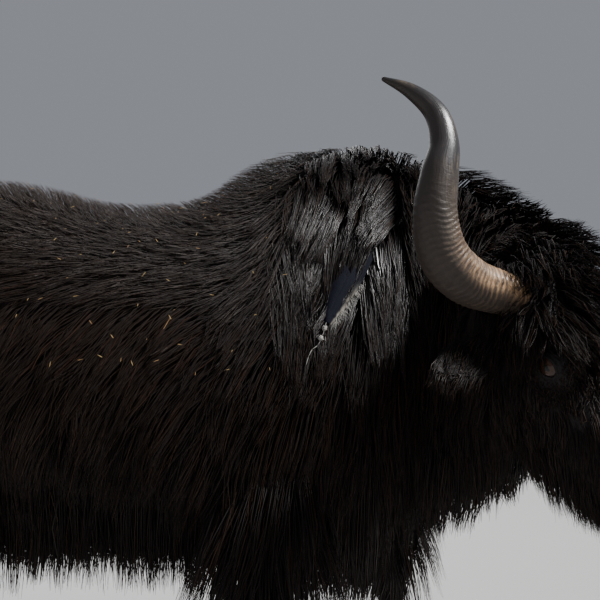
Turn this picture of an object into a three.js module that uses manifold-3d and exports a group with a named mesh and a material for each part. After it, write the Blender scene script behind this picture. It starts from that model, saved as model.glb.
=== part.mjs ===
// A domestic yak bull, life size, standing with its head turned to its own right.
// Millimetres. +X points forwards along the trunk, +Y to the animal's left, +Z up. The hooves stand on z = 0.
import * as THREE from "three";
import { mergeVertices } from "three/addons/utils/BufferGeometryUtils.js";
import Module from "manifold-3d";

const wasm = await Module();
wasm.setup();

// Driving dimensions
const GAP = 0.3; // clear space between two neighbouring pieces
const LEG_CUT = 500; // height at which the legs are parted from the trunk
const HOOF_HEIGHT = 62;
const HEAD_TURN = 60; // degrees, to the animal's right
const HEAD_PITCH = 50; // degrees, the face's slope below level
const POLL = [735, -400, 962]; // the top of the head, midway between the horns
const EYE = { along: 165, aside: 93, deep: 45, radius: 20 };
const CLAW_APART = 25.5; // from the middle of a foot to the middle of each claw
const LEG_ROOM = { reach: 150, inner: 60, outer: 268 }; // space beside the belly that a leg and its hair keep
const RUMP_HAIR = 36; // depth of the hair on the buttocks
const LOCK_SINK = 16; // depth of a lock's root under the surface it grows from

const UP = new THREE.Vector3(0, 0, 1);
const DOWN = new THREE.Vector3(0, 0, -1);
const LEFT = new THREE.Vector3(0, 1, 0);

const degrees = THREE.MathUtils.degToRad;
const between = THREE.MathUtils.lerp;
const vector = (x, y, z) => new THREE.Vector3(x, y, z);

// Seeded chance, from minus one to one, so that every build draws the same coat.
THREE.MathUtils.seededRandom(4947);
const chance = () => 2 * THREE.MathUtils.seededRandom() - 1;

// A signed power keeps the sign of its base, so that one formula draws all four quarters of a section.
const signedPower = (value, power) => Math.sign(value) * Math.abs(value) ** power;

function solid(positions, faces) {
  return new wasm.Manifold(
    new wasm.Mesh({
      numProp: 3,
      vertProperties: new Float32Array(positions),
      triVerts: new Uint32Array(faces),
    }),
  );
}

// Closed mesh from rings of points, one after another along a path. The last ring may close on a tip.
function skin(rings, tip = null) {
  const sides = rings[0].length;
  const points = rings.flat();
  const faces = [];
  for (let ring = 0; ring + 1 < rings.length; ring++) {
    for (let side = 0; side < sides; side++) {
      const a = ring * sides + side;
      const b = ring * sides + ((side + 1) % sides);
      faces.push(a, b, b + sides, a, b + sides, a + sides);
    }
  }
  const last = (rings.length - 1) * sides;
  for (let side = 1; side + 1 < sides; side++) {
    faces.push(0, side + 1, side);
    if (!tip) faces.push(last, last + side, last + side + 1);
  }
  if (tip) {
    for (let side = 0; side < sides; side++) {
      faces.push(last + side, last + ((side + 1) % sides), points.length);
    }
    points.push(tip);
  }
  return solid(points.flatMap((p) => [p.x, p.y, p.z]), faces);
}

// Solid of a three.js geometry, with its shared vertices merged.
function solidOf(geometry) {
  const bare = geometry.clone();
  bare.deleteAttribute("normal");
  bare.deleteAttribute("uv");
  const merged = mergeVertices(bare, 1e-3);
  return solid(merged.attributes.position.array, merged.index.array);
}

// Everything ahead of a plane, as one large block.
const BLOCK = 4000;
function ahead(point, normal) {
  const turn = new THREE.Quaternion().setFromUnitVectors(UP, normal);
  const centre = point.clone().addScaledVector(normal, BLOCK / 2);
  const place = new THREE.Matrix4().compose(centre, turn, vector(1, 1, 1));
  return solidOf(new THREE.BoxGeometry(BLOCK, BLOCK, BLOCK).applyMatrix4(place));
}

// Only the largest closed surface of a piece, so that it stays one body.
function oneBody(piece) {
  return piece.decompose().reduce((best, part) => (part.volume() > best.volume() ? part : best));
}

// A smooth body drawn through stations along its middle line. A station gives the half sizes of its section:
// up, down and side, and how full its upper and lower halves are, where 2 is an ellipse.
class Loft {
  constructor(stations, sideways = null) {
    const curve = (values) => new THREE.CatmullRomCurve3(values, false, "catmullrom", 0.5);
    this.sideways = sideways;
    this.middle = curve(stations.map((s) => vector(...s.at)));
    this.sizes = curve(stations.map((s) => vector(s.up, s.down, s.side)));
    this.fullness = curve(stations.map((s) => vector(s.top ?? 2, s.low ?? 2, 0)));
    this.samples = 80;
  }

  frame(t) {
    const along = this.middle.getTangent(t);
    const side = (this.sideways ?? UP.clone().cross(along)).clone();
    side.addScaledVector(along, -side.dot(along)).normalize();
    return { along, side, up: along.clone().cross(side) };
  }

  point(t, angle, grow = 0, swell = 1) {
    const { along, side, up } = this.frame(t);
    const size = this.sizes.getPoint(t).multiplyScalar(swell);
    const full = this.fullness.getPoint(t);
    const lower = Math.sin(angle) < 0;
    const power = 2 / (lower ? full.y : full.x);
    const beyond = t === 0 ? -grow : t === 1 ? grow : 0;
    return this.middle
      .getPoint(t)
      .addScaledVector(along, beyond)
      .addScaledVector(side, (size.z + grow) * signedPower(Math.cos(angle), power))
      .addScaledVector(up, ((lower ? size.y : size.x) + grow) * signedPower(Math.sin(angle), power));
  }

  body(rings, sides, grow = 0, swell = () => 1) {
    const drawn = [];
    for (let ring = 0; ring < rings; ring++) {
      const t = ring / (rings - 1);
      const section = [];
      for (let side = 0; side < sides; side++) {
        section.push(this.point(t, ((side + 0.5) * 2 * Math.PI) / sides, grow, swell(ring, t)));
      }
      drawn.push(section);
    }
    return skin(drawn);
  }

  // Place along the line whose middle is nearest to a point.
  nearest(point) {
    let best = 0;
    let least = Infinity;
    for (let step = 0; step <= this.samples; step++) {
      const distance = this.middle.getPoint(step / this.samples).distanceToSquared(point);
      if (distance < least) {
        least = distance;
        best = step / this.samples;
      }
    }
    return best;
  }

  // How far a point is outside the surface, and the way out of the surface there.
  outside(point) {
    const t = this.nearest(point);
    const { side, up } = this.frame(t);
    const size = this.sizes.getPoint(t);
    const full = this.fullness.getPoint(t);
    const offset = point.clone().sub(this.middle.getPoint(t));
    const across = offset.dot(side);
    const above = offset.dot(up);
    const height = above < 0 ? size.y : size.x;
    const power = above < 0 ? full.y : full.x;
    const share = (Math.abs(across / size.z) ** power + Math.abs(above / height) ** power) ** (1 / power);
    const out = side
      .multiplyScalar(signedPower(across / size.z, power - 1) / size.z)
      .addScaledVector(up, signedPower(above / height, power - 1) / height)
      .normalize();
    return { distance: Math.hypot(across, above) * (1 - 1 / Math.max(share, 0.01)), out };
  }
}

// One flat lock: its root is sunk in the body, it lies along the coat, bends down and tapers to a tip.
const LOCK_STEPS = [
  { share: 0.14, wide: 0.85, thick: 0.9 },
  { share: 0.33, wide: 1, thick: 1 },
  { share: 0.31, wide: 0.7, thick: 0.7 },
];
const LOCK_ROOT = 0.6; // size of the sunk root beside the lock's widest place
const LOCK_BEND = 1.2; // how soon a lock has turned to its fall
const LOCK_TIP = 0.5; // how far the tip stands off, beside the lock's middle

function lock(body, root, { lie, length, width, thick, fall = 0.5, lift = 0.15, stand = 4, down = DOWN }) {
  const { out } = body.outside(root);
  const along = lie.clone().normalize();
  along.addScaledVector(out, lift - along.dot(out)).normalize();
  const at = root.clone().addScaledVector(out, -LOCK_SINK).addScaledVector(along, -LOCK_SINK / 2);
  const drawn = [];
  const section = (direction, wide, high) => {
    const face = body.outside(at).out;
    const across = face.clone().cross(direction).normalize();
    const ridge = direction.clone().cross(across);
    drawn.push([
      at.clone().addScaledVector(across, wide / 2),
      at.clone().addScaledVector(ridge, high),
      at.clone().addScaledVector(across, -wide / 2),
    ]);
  };
  section(along, width * LOCK_ROOT, thick * LOCK_ROOT);
  let gone = 0;
  let direction = along;
  for (const step of [...LOCK_STEPS, null]) {
    const share = step ? step.share : 1 - gone;
    gone += share;
    direction = along.clone().lerp(down, fall * Math.min(1, gone * LOCK_BEND)).normalize();
    at.addScaledVector(direction, share * length);
    const clear = stand * (step ? gone : LOCK_TIP);
    const place = body.outside(at);
    if (place.distance < clear) at.addScaledVector(place.out, clear - place.distance);
    if (step) section(direction, width * step.wide, thick * step.thick);
  }
  return skin(drawn, at.clone());
}

const animal = new THREE.Group();

function addNode(group, name, piece, finish) {
  const made = oneBody(piece).getMesh();
  const geometry = new THREE.BufferGeometry();
  geometry.setAttribute("position", new THREE.BufferAttribute(made.vertProperties, 3));
  geometry.setIndex(new THREE.BufferAttribute(made.triVerts, 1));
  const mesh = new THREE.Mesh(geometry, new THREE.MeshStandardMaterial(finish));
  mesh.name = name;
  group.add(mesh);
}

const COAT = { color: 0x15110f, roughness: 0.75, metalness: 0 };
const HORN = { color: 0x6d5a48, roughness: 0.4, metalness: 0 };
const HOOF = { color: 0x25211e, roughness: 0.6, metalness: 0 };
const EYEBALL = { color: 0x0b0807, roughness: 0.08, metalness: 0 };
const CLOTH = { color: 0x55606e, roughness: 0.9, metalness: 0 };

// The trunk and neck: one body from the rump, over the loins and the high hump, to the poll.
const TRUNK = new Loft([
  { at: [-704, 0, 870], up: 30, down: 70, side: 30 },
  { at: [-694, 0, 865], up: 110, down: 170, side: 100 },
  { at: [-668, 0, 860], up: 170, down: 225, side: 152 },
  { at: [-610, 0, 852], up: 262, down: 258, side: 206 },
  { at: [-480, 0, 840], up: 345, down: 255, side: 258 },
  { at: [-300, 0, 825], up: 356, down: 240, side: 298 },
  { at: [-100, 0, 812], up: 326, down: 250, side: 316 },
  { at: [100, 0, 812], up: 338, down: 265, side: 302, top: 1.9 },
  { at: [250, 0, 825], up: 396, down: 285, side: 276, top: 1.7 },
  { at: [380, 0, 840], up: 430, down: 302, side: 248, top: 1.6 },
  { at: [500, 0, 850], up: 424, down: 312, side: 222, top: 1.6 },
  { at: [600, -28, 858], up: 372, down: 300, side: 192, top: 1.7 },
  { at: [682, -100, 860], up: 290, down: 282, side: 162, top: 1.8 },
  { at: [735, -190, 858], up: 225, down: 250, side: 140 },
  { at: [752, -285, 850], up: 186, down: 195, side: 122 },
  { at: [750, -375, 838], up: 150, down: 150, side: 108 },
]);

// Rings along each body and sides round it.
const TRUNK_GRID = [28, 20];
const LIMB_GRID = [12, 10];
const TAIL_GRID = [10, 8];
const RIBBON_GRID = [8, 6];
const EAR_GRID = [8, 10];

// Place along the trunk at a distance forwards of the middle of the back.
function trunkAt(x) {
  let low = 0;
  let high = 0.7;
  while (high - low > 1e-4) {
    const half = (low + high) / 2;
    if (TRUNK.middle.getPoint(half).x < x) low = half;
    else high = half;
  }
  return low;
}

// A row of locks along a body, from one place to another. Each figure may change over the row as a pair,
// and every lock differs a little from its neighbours.
const VARY = { place: 0.25, turn: 5, length: 0.18, width: 0.2, thick: 0.15 };
const atShare = (value, share) => (Array.isArray(value) ? between(value[0], value[1], share) : value);

function lockRow(body, side, { places, angle, count, length, width, thick, lie, loose = 0.18, ...rest }) {
  const made = [];
  for (let number = 0; number < count; number++) {
    const share = (number + 0.5 + VARY.place * chance()) / count;
    const turn = atShare(angle, share) + VARY.turn * chance();
    const root = body.point(places(share), degrees(side > 0 ? turn : 180 - turn));
    const stray = () => loose * chance();
    made.push(
      lock(body, root, {
        lie: vector(lie[0] + stray(), side * lie[1] + stray(), lie[2] + stray()),
        length: atShare(length, share) * (1 + VARY.length * chance()),
        width: atShare(width, share) * (1 + VARY.width * chance()),
        thick: atShare(thick, share) * (1 + VARY.thick * chance()),
        ...rest,
      }),
    );
  }
  return made;
}

// All the pieces joined into one.
const joined = (pieces) => wasm.Manifold.union(pieces);

const overTrunk = (from, to) => (share) => trunkAt(between(from, to, share));

// The coat of the trunk: mane over the hump, flanks, haunches, and the skirt that hangs in two tiers on each side.
function trunkLocks() {
  const made = [];
  for (const side of [-1, 1]) {
    const rows = [
      { places: overTrunk(-600, 560), angle: [-32, -38], count: 8, length: [265, 300], width: 140, thick: 26,
        lie: [-0.12, 0.3, -1], fall: 0.75, stand: 34 },
      { places: overTrunk(-560, 520), angle: [-8, -14], count: 7, length: [240, 300], width: 138, thick: 26,
        lie: [-0.25, 0.12, -1], fall: 0.6, stand: 34 },
      { places: overTrunk(-540, 470), angle: [18, 12], count: 6, length: [190, 240], width: 138, thick: 22,
        lie: [-0.6, 0, -0.8], fall: 0.45, stand: 30 },
      { places: overTrunk(90, 430), angle: [36, 38], count: 3, length: 190, width: 100, thick: 20,
        lie: [-0.7, 0, -0.7], fall: 0.4, stand: 26 },
      { places: overTrunk(215, 455), angle: [74, 70], count: 4, length: 225, width: 60, thick: 18,
        lie: [-0.3, 1, -0.3], fall: 0.7, stand: 26, lift: 0.35 },
      { places: overTrunk(200, 450), angle: [52, 50], count: 4, length: 200, width: 56, thick: 18,
        lie: [-0.35, 0.3, -1], fall: 0.6, stand: 26 },
    ];
    for (const row of rows) {
      made.push(...lockRow(TRUNK, side, row));
    }
  }
  made.push(
    ...lockRow(TRUNK, 1, {
      places: overTrunk(150, 455), angle: [90, 90], count: 4, length: 120, width: 84, thick: 12,
      lie: [-1, 0, 0.1], lift: 0.12, fall: 0.1, stand: 2,
    }),
    ...lockRow(TRUNK, 1, {
      places: overTrunk(-540, 40), angle: [90, 90], count: 3, length: 130, width: 110, thick: 10,
      lie: [-1, 0, 0], lift: 0.15, fall: 0.1, stand: 2,
    }),
  );
  return joined(made);
}

// Hair on the buttocks keeps close to the body, so that the tail hangs clear of it.
function rumpLocks() {
  const row = {
    places: overTrunk(-688, -640), angle: [-30, 40], count: 3, length: 190, width: 96, thick: 18,
    lie: [-0.35, 0.2, -1], fall: 0.7, stand: 16,
  };
  const made = [...lockRow(TRUNK, -1, row), ...lockRow(TRUNK, 1, row)];
  return joined(made).intersect(TRUNK.body(...TRUNK_GRID, RUMP_HAIR));
}

// The plane between trunk and neck runs from the back of the hump to the point of the shoulder.
const SHOULDER_POINT = vector(470, 0, 1250);
const SHOULDER_NORMAL = vector(700, 0, 180).normalize();

// Legs, drawn from inside the trunk down to the hooves. A station's up and down are its front and back half sizes.
const LEGS = [
  {
    name: "front_right",
    line: [
      { at: [254, -140, 770], up: 100, down: 110, side: 70 },
      { at: [243, -186, 500], up: 82, down: 92, side: 68 },
      { at: [236, -190, 410], up: 62, down: 66, side: 56 },
      { at: [233, -190, 335], up: 50, down: 44, side: 47 },
      { at: [231, -190, 285], up: 38, down: 38, side: 38 },
      { at: [229, -190, 190], up: 31, down: 34, side: 31 },
      { at: [229, -190, 112], up: 36, down: 46, side: 40 },
      { at: [238, -190, 55], up: 38, down: 46, side: 46 },
    ],
    hoof: [242, -190],
  },
  {
    name: "front_left",
    line: [
      { at: [440, 130, 770], up: 100, down: 110, side: 70 },
      { at: [482, 184, 500], up: 82, down: 92, side: 68 },
      { at: [500, 190, 410], up: 62, down: 66, side: 56 },
      { at: [512, 190, 335], up: 50, down: 44, side: 47 },
      { at: [517, 190, 285], up: 38, down: 38, side: 38 },
      { at: [522, 190, 190], up: 31, down: 34, side: 31 },
      { at: [524, 190, 112], up: 36, down: 46, side: 40 },
      { at: [533, 190, 55], up: 38, down: 46, side: 46 },
    ],
    hoof: [537, 190],
  },
  {
    name: "hind_right",
    line: [
      { at: [-470, -130, 760], up: 180, down: 160, side: 90 },
      { at: [-440, -168, 600], up: 130, down: 130, side: 92 },
      { at: [-462, -172, 500], up: 92, down: 92, side: 74 },
      { at: [-512, -172, 415], up: 54, down: 66, side: 48 },
      { at: [-522, -172, 360], up: 44, down: 52, side: 42 },
      { at: [-506, -172, 270], up: 36, down: 38, side: 34 },
      { at: [-490, -172, 180], up: 34, down: 36, side: 33 },
      { at: [-480, -172, 112], up: 38, down: 48, side: 41 },
      { at: [-470, -172, 55], up: 38, down: 46, side: 46 },
    ],
    hoof: [-466, -172],
  },
  {
    name: "hind_left",
    line: [
      { at: [-510, 130, 760], up: 180, down: 130, side: 90 },
      { at: [-535, 168, 600], up: 130, down: 120, side: 92 },
      { at: [-572, 172, 500], up: 92, down: 88, side: 74 },
      { at: [-632, 172, 415], up: 54, down: 66, side: 48 },
      { at: [-646, 172, 360], up: 44, down: 52, side: 42 },
      { at: [-634, 172, 270], up: 36, down: 38, side: 34 },
      { at: [-622, 172, 180], up: 34, down: 36, side: 33 },
      { at: [-613, 172, 112], up: 38, down: 48, side: 41 },
      { at: [-603, 172, 55], up: 38, down: 46, side: 46 },
    ],
    hoof: [-599, 172],
  },
];

// The room that a leg and its hair keep, between the belly's middle and the skirt.
function legRoom(leg, shrink = 0) {
  const side = Math.sign(leg.hoof[1]);
  const middle = leg.line[2].at[0] - 15;
  const wide = LEG_ROOM.outer - LEG_ROOM.inner - 2 * shrink;
  const room = new THREE.BoxGeometry(2 * (LEG_ROOM.reach - shrink), wide, LEG_CUT * 2);
  return solidOf(room.translate(middle, (side * (LEG_ROOM.outer + LEG_ROOM.inner)) / 2, 0));
}

// Hair on a leg hangs behind the forearm or thigh and thins out over the knee or hock.
function legLocks(leg, limb) {
  const made = [];
  const start = limb.nearest(vector(...leg.line[1].at));
  const places = (share) => start + 0.05 + 0.16 * share;
  for (const [angle, count] of [[-80, 1], [-15, 2]]) {
    for (const side of [-1, 1]) {
      made.push(
        ...lockRow(limb, side, {
          places, angle, count: side === Math.sign(leg.hoof[1]) ? count : 1, length: [190, 140],
          width: 62, thick: 16, lie: [-0.3, 0.1, -1], fall: 0.5, stand: 14, loose: 0.1,
        }),
      );
    }
  }
  return joined(made).intersect(legRoom(leg, GAP));
}

// One claw of a cloven hoof: its wall slopes forwards to a flat sole. Its line runs from the top down.
function claw(x, y) {
  return new Loft(
    [
      { at: [x, y, HOOF_HEIGHT], up: 28, down: 40, side: 21, top: 2.2, low: 2.2 },
      { at: [x, y, 40], up: 44, down: 42, side: 22.5, top: 2.2, low: 2.4 },
      { at: [x, y, 18], up: 58, down: 42, side: 23.5, top: 2.1, low: 2.4 },
      { at: [x, y, 0], up: 66, down: 44, side: 24, top: 2, low: 2.4 },
    ],
    LEFT,
  ).body(4, 8);
}

// Two small dew claws stand behind each fetlock.
function dewClaws(leg) {
  const [x, y, z] = leg.line.at(-2).at;
  return [-1, 1].map((side) =>
    new Loft(
      [
        { at: [x - 28, y + side * 16, z - 2], up: 13, down: 13, side: 12 },
        { at: [x - 52, y + side * 21, z - 10], up: 11, down: 11, side: 10 },
        { at: [x - 60, y + side * 22, z - 22], up: 5, down: 5, side: 5 },
      ],
      LEFT,
    ).body(4, 6),
  );
}

// The head in its own frame: X along the face from poll to muzzle, Y to the animal's left, Z out of the brow.
const headGroup = new THREE.Group();
headGroup.position.set(...POLL);
headGroup.rotation.set(0, degrees(HEAD_PITCH), -degrees(HEAD_TURN), "ZYX");
headGroup.updateMatrix();
animal.add(headGroup);
const downInHead = DOWN.clone().transformDirection(headGroup.matrix.clone().invert());

const SKULL = new Loft([
  { at: [-62, 0, -100], up: 62, down: 70, side: 74 },
  { at: [-20, 0, -92], up: 92, down: 104, side: 106, top: 2.7 },
  { at: [50, 0, -88], up: 94, down: 122, side: 121, top: 3.1 },
  { at: [120, 0, -88], up: 88, down: 134, side: 117, top: 2.8 },
  { at: [190, 0, -88], up: 77, down: 132, side: 104, top: 2.4 },
  { at: [265, 0, -90], up: 64, down: 112, side: 84, top: 2.3 },
  { at: [335, 0, -92], up: 52, down: 84, side: 69, top: 2.2 },
  { at: [400, 0, -94], up: 49, down: 66, side: 67, top: 2.4 },
  { at: [446, 0, -97], up: 46, down: 58, side: 64, top: 2.5 },
  { at: [470, 0, -101], up: 36, down: 44, side: 52, top: 2.4 },
  { at: [482, 0, -104], up: 16, down: 22, side: 28 },
]);

const SKULL_GRID = [15, 18];

// The plane between neck and head leans from behind the poll to the throat.
const NECK_TOP = vector(-35, 0, 30);
const NECK_NORMAL = vector(290, 0, 95).normalize();

// The horns leave the poll level, turn forwards and up, then back and out to slender tips.
const HORN_LINE = [
  { at: [34, 66, -46], r: 25 },
  { at: [26, 116, -31], r: 34 },
  { at: [12, 193, -20], r: 38.5 },
  { at: [-9, 250, 10], r: 38 },
  { at: [-43, 278, 57], r: 33.5 },
  { at: [-81, 277, 100], r: 29 },
  { at: [-118, 268, 131], r: 22.5 },
  { at: [-165, 272, 152], r: 17.5 },
  { at: [-213, 296, 154], r: 11.5 },
  { at: [-258, 324, 142], r: 3 },
];
const HORN_RINGS = 24;
const HORN_SIDES = 10;
const HORN_RIDGE = 1.05; // a growth ring stands this much over the furrow beside it
const RINGED_SHARE = 0.55; // of the horn's length, from its base

function horn(side, grow = 0) {
  const stations = HORN_LINE.map(({ at, r }) => ({ at: [at[0], side * at[1], at[2]], up: r, down: r, side: r }));
  const ringed = (ring, t) => (t < RINGED_SHARE && ring % 2 ? HORN_RIDGE : 1);
  return new Loft(stations).body(HORN_RINGS, HORN_SIDES, grow, ringed);
}

// An ear is a leaf-shaped cup that points out and a little down, hollow in front, with hair along its lower rim.
function earLeaf(side) {
  return new Loft(
    [
      { at: [66, side * 98, -93], up: 20, down: 20, side: 22 },
      { at: [74, side * 120, -100], up: 20, down: 19, side: 28 },
      { at: [84, side * 150, -108], up: 17, down: 15, side: 38 },
      { at: [94, side * 188, -116], up: 14, down: 12, side: 36 },
      { at: [103, side * 222, -122], up: 8, down: 7, side: 20 },
      { at: [107, side * 240, -125], up: 3, down: 3, side: 6 },
    ],
    vector(-side, 0, 0),
  );
}

function earCup(side) {
  return new Loft(
    [
      { at: [84, side * 126, -84], up: 10, down: 11, side: 12 },
      { at: [90, side * 150, -92], up: 12, down: 12, side: 27 },
      { at: [98, side * 186, -101], up: 11, down: 11, side: 25 },
      { at: [104, side * 214, -109], up: 8, down: 9, side: 12 },
      { at: [108, side * 226, -114], up: 4, down: 5, side: 4 },
    ],
    vector(-side, 0, 0),
  ).body(5, 8);
}

function ear(side) {
  const leaf = earLeaf(side);
  const hair = [0.45, 0.66].map((place) =>
    lock(leaf, leaf.point(place, degrees(side > 0 ? 182 : -2)), {
      lie: vector(0.5, side * 0.9, -0.3), length: 66, width: 30, thick: 8, fall: 0.6, stand: 8, down: downInHead,
    }),
  );
  return leaf.body(...EAR_GRID).subtract(earCup(side)).add(joined(hair));
}

function eyeball(side, grow = 0) {
  const ball = new THREE.SphereGeometry(EYE.radius + grow, 12, 8);
  return solidOf(ball.translate(EYE.along, side * EYE.aside, -EYE.deep));
}

// A lid is a rounded ridge that arches over, or under, the eyeball from corner to corner.
const LID = { upper: 17, lower: -15, corner: 7, thin: 3, full: 5, outside: 12, back: 4 };

function lid(side, arch) {
  const steps = 6;
  const reach = EYE.radius + LID.corner;
  const stations = [];
  for (let step = 0; step <= steps; step++) {
    const swing = Math.PI * (step / steps);
    const thick = LID.thin + LID.full * Math.sin(swing);
    const aside = EYE.aside + LID.outside - LID.back * Math.abs(Math.cos(swing));
    stations.push({
      at: [EYE.along - reach * Math.cos(swing), side * aside, arch * Math.sin(swing) - EYE.deep],
      up: thick,
      down: thick,
      side: thick,
    });
  }
  return new Loft(stations, LEFT).body(steps + 1, 5);
}

function nostril(side) {
  return new Loft([
    { at: [430, side * 20, -84], up: 9, down: 9, side: 6 },
    { at: [452, side * 38, -84], up: 12, down: 11, side: 8 },
    { at: [478, side * 58, -80], up: 16, down: 14, side: 12 },
  ]).body(3, 6);
}

// The mouth is a shallow slit that runs round the muzzle from one corner to the other.
function mouthLine() {
  const slit = new THREE.Shape();
  slit.moveTo(372, -90);
  slit.lineTo(500, -90);
  slit.lineTo(500, 90);
  slit.lineTo(372, 90);
  slit.lineTo(372, 62);
  slit.lineTo(440, 52);
  slit.quadraticCurveTo(472, 30, 474, 0);
  slit.quadraticCurveTo(472, -30, 440, -52);
  slit.lineTo(372, -62);
  const sheet = new THREE.ExtrudeGeometry(slit, { depth: 5, bevelEnabled: false, curveSegments: 4 });
  return solidOf(sheet.translate(0, 0, -128));
}

// Hair of the head: a forelock that falls over the brow, a tuft on the poll, and a beard along the jaw.
function headLocks() {
  const made = [];
  const down = downInHead;
  for (const side of [-1, 1]) {
    made.push(
      ...lockRow(SKULL, side, {
        places: (share) => between(0.13, 0.18, share), angle: [72, 44], count: 2, length: [190, 150],
        width: 58, thick: 16, lie: [1, 0.25, 0], lift: 0.35, fall: 0.25, stand: 20, loose: 0.12, down,
      }),
      ...lockRow(SKULL, side, {
        places: () => 0.115, angle: [86, 58], count: 2, length: 120, width: 62, thick: 26,
        lie: [0.25, 0.35, 1], lift: 0.9, fall: 0.3, stand: 30, loose: 0.1, down,
      }),
      ...lockRow(SKULL, side, {
        places: (share) => between(0.25, 0.62, share), angle: [-36, -48], count: 4, length: [160, 110],
        width: 60, thick: 16, lie: [-0.2, 0.1, -1], fall: 0.8, stand: 22, loose: 0.12, down,
      }),
    );
  }
  made.push(
    ...lockRow(SKULL, 1, {
      places: () => 0.15, angle: [104, 76], count: 2, length: 210, width: 56, thick: 18,
      lie: [1, 0, 0], lift: 0.4, fall: 0.25, stand: 26, loose: 0.1, down,
    }),
    ...lockRow(SKULL, 1, {
      places: (share) => between(0.3, 0.74, share), angle: [-92, -88], count: 4, length: [150, 100],
      width: 62, thick: 20, lie: [0, 0, -1], fall: 0.7, lift: 0.5, stand: 10, loose: 0.12, down,
    }),
  );
  return joined(made);
}

// The tail hangs from the croup: a slender dock under one long bush of hair.
const TAIL = new Loft(
  [
    { at: [-655, 0, 1035], up: 26, down: 26, side: 28 },
    { at: [-708, 0, 1016], up: 26, down: 26, side: 30 },
    { at: [-748, 0, 930], up: 26, down: 28, side: 36 },
    { at: [-768, 0, 790], up: 34, down: 36, side: 50 },
    { at: [-776, 0, 640], up: 38, down: 40, side: 56 },
    { at: [-778, 0, 540], up: 16, down: 18, side: 24 },
  ],
  LEFT,
);

function tailLocks() {
  const made = [];
  for (const side of [-1, 1]) {
    for (const angle of [-60, 0, 60]) {
      made.push(
        ...lockRow(TAIL, side, {
          places: (share) => between(0.3, 0.92, share), angle, count: angle < 0 ? 1 : 2, length: [320, 250],
          width: 82, thick: 24, lie: [-0.05, 0.25, -1], fall: 0.7, stand: 26, loose: 0.06,
        }),
      );
    }
  }
  return joined(made).subtract(TRUNK.body(...TRUNK_GRID, RUMP_HAIR + GAP));
}

// Neck hair: a mane drapes from the crest to both sides, and a dewlap of long hair hangs from throat to brisket.
function neckLocks() {
  const made = [];
  const over = (from, to) => (share) => between(from, to, share);
  for (const side of [-1, 1]) {
    made.push(
      ...lockRow(TRUNK, side, {
        places: over(0.68, 0.96), angle: [72, 66], count: 4, length: [230, 170], width: 66, thick: 20,
        lie: [0.1, 1, -0.4], fall: 0.7, stand: 24, lift: 0.35,
      }),
      ...lockRow(TRUNK, side, {
        places: over(0.73, 0.94), angle: [22, 18], count: 3, length: 210, width: 96, thick: 22,
        lie: [-0.1, 0.1, -1], fall: 0.6, stand: 24,
      }),
      ...lockRow(TRUNK, side, {
        places: over(0.76, 0.93), angle: [-28, -28], count: 3, length: [240, 210], width: 96, thick: 24,
        lie: [-0.1, 0.1, -1], fall: 0.7, stand: 24,
      }),
    );
  }
  made.push(
    ...lockRow(TRUNK, 1, {
      places: over(0.67, 0.95), angle: [90, 90], count: 4, length: 100, width: 72, thick: 14,
      lie: [-0.8, 0.6, 0.15], lift: 0.2, fall: 0.1, stand: 6,
    }),
    ...lockRow(TRUNK, 1, {
      places: over(0.78, 0.95), angle: [-70, -78], count: 3, length: [240, 190], width: 104, thick: 26,
      lie: [0.15, 0, -1], fall: 0.8, stand: 14,
    }),
    ...lockRow(TRUNK, -1, {
      places: over(0.78, 0.94), angle: [-66, -70], count: 3, length: [250, 190], width: 104, thick: 26,
      lie: [0.15, 0, -1], fall: 0.8, stand: 14,
    }),
  );
  return joined(made);
}

// Brisket: long hair that hangs between the forelegs and in front of them.
function brisketLocks() {
  const row = { length: [190, 150], width: 108, thick: 28, lie: [0, 0, -1], fall: 0.8, stand: 12, loose: 0.08 };
  return joined([
    ...lockRow(TRUNK, 1, { ...row, places: overTrunk(430, 655), angle: [-84, -74], count: 4 }),
    ...lockRow(TRUNK, -1, { ...row, places: overTrunk(470, 650), angle: [-80, -60], count: 4 }),
  ]);
}

// A strip of cloth is tied into the mane over the right shoulder. It hangs to a knot and a few loose threads.
const RIBBON_LINE = new Loft(
  [
    { at: [452, -171, 1063], up: 19, down: 19, side: 1.6 },
    { at: [418, -204, 1022], up: 24, down: 24, side: 1.6 },
    { at: [390, -226, 970], up: 26, down: 26, side: 1.6 },
    { at: [358, -249, 911], up: 16, down: 16, side: 1.6 },
    { at: [343, -271, 875], up: 6, down: 6, side: 4 },
    { at: [335, -281, 852], up: 7, down: 7, side: 5 },
  ],
  LEFT,
);

// The cutting planes, and each node's share of the whole.
const inFrontOfShoulder = ahead(SHOULDER_POINT.clone().addScaledVector(SHOULDER_NORMAL, -GAP / 2), SHOULDER_NORMAL);
const behindShoulder = ahead(
  SHOULDER_POINT.clone().addScaledVector(SHOULDER_NORMAL, GAP / 2),
  SHOULDER_NORMAL.clone().negate(),
);
const headCutPoint = NECK_TOP.clone().applyMatrix4(headGroup.matrix);
const headCutNormal = NECK_NORMAL.clone().transformDirection(headGroup.matrix);
const inFrontOfNeck = ahead(headCutPoint.clone().addScaledVector(headCutNormal, -GAP / 2), headCutNormal);
const behindHead = ahead(NECK_TOP.clone().addScaledVector(NECK_NORMAL, GAP / 2), NECK_NORMAL.clone().negate());
const belowLegCut = ahead(vector(0, 0, LEG_CUT + GAP / 2), DOWN);
const belowPastern = ahead(vector(0, 0, HOOF_HEIGHT + GAP), DOWN);
const aboveLegCut = ahead(vector(0, 0, LEG_CUT - GAP / 2), UP);
const tailRoom = TAIL.body(...TAIL_GRID, GAP);
const ribbonRoom = RIBBON_LINE.body(...RIBBON_GRID, GAP);

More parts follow.
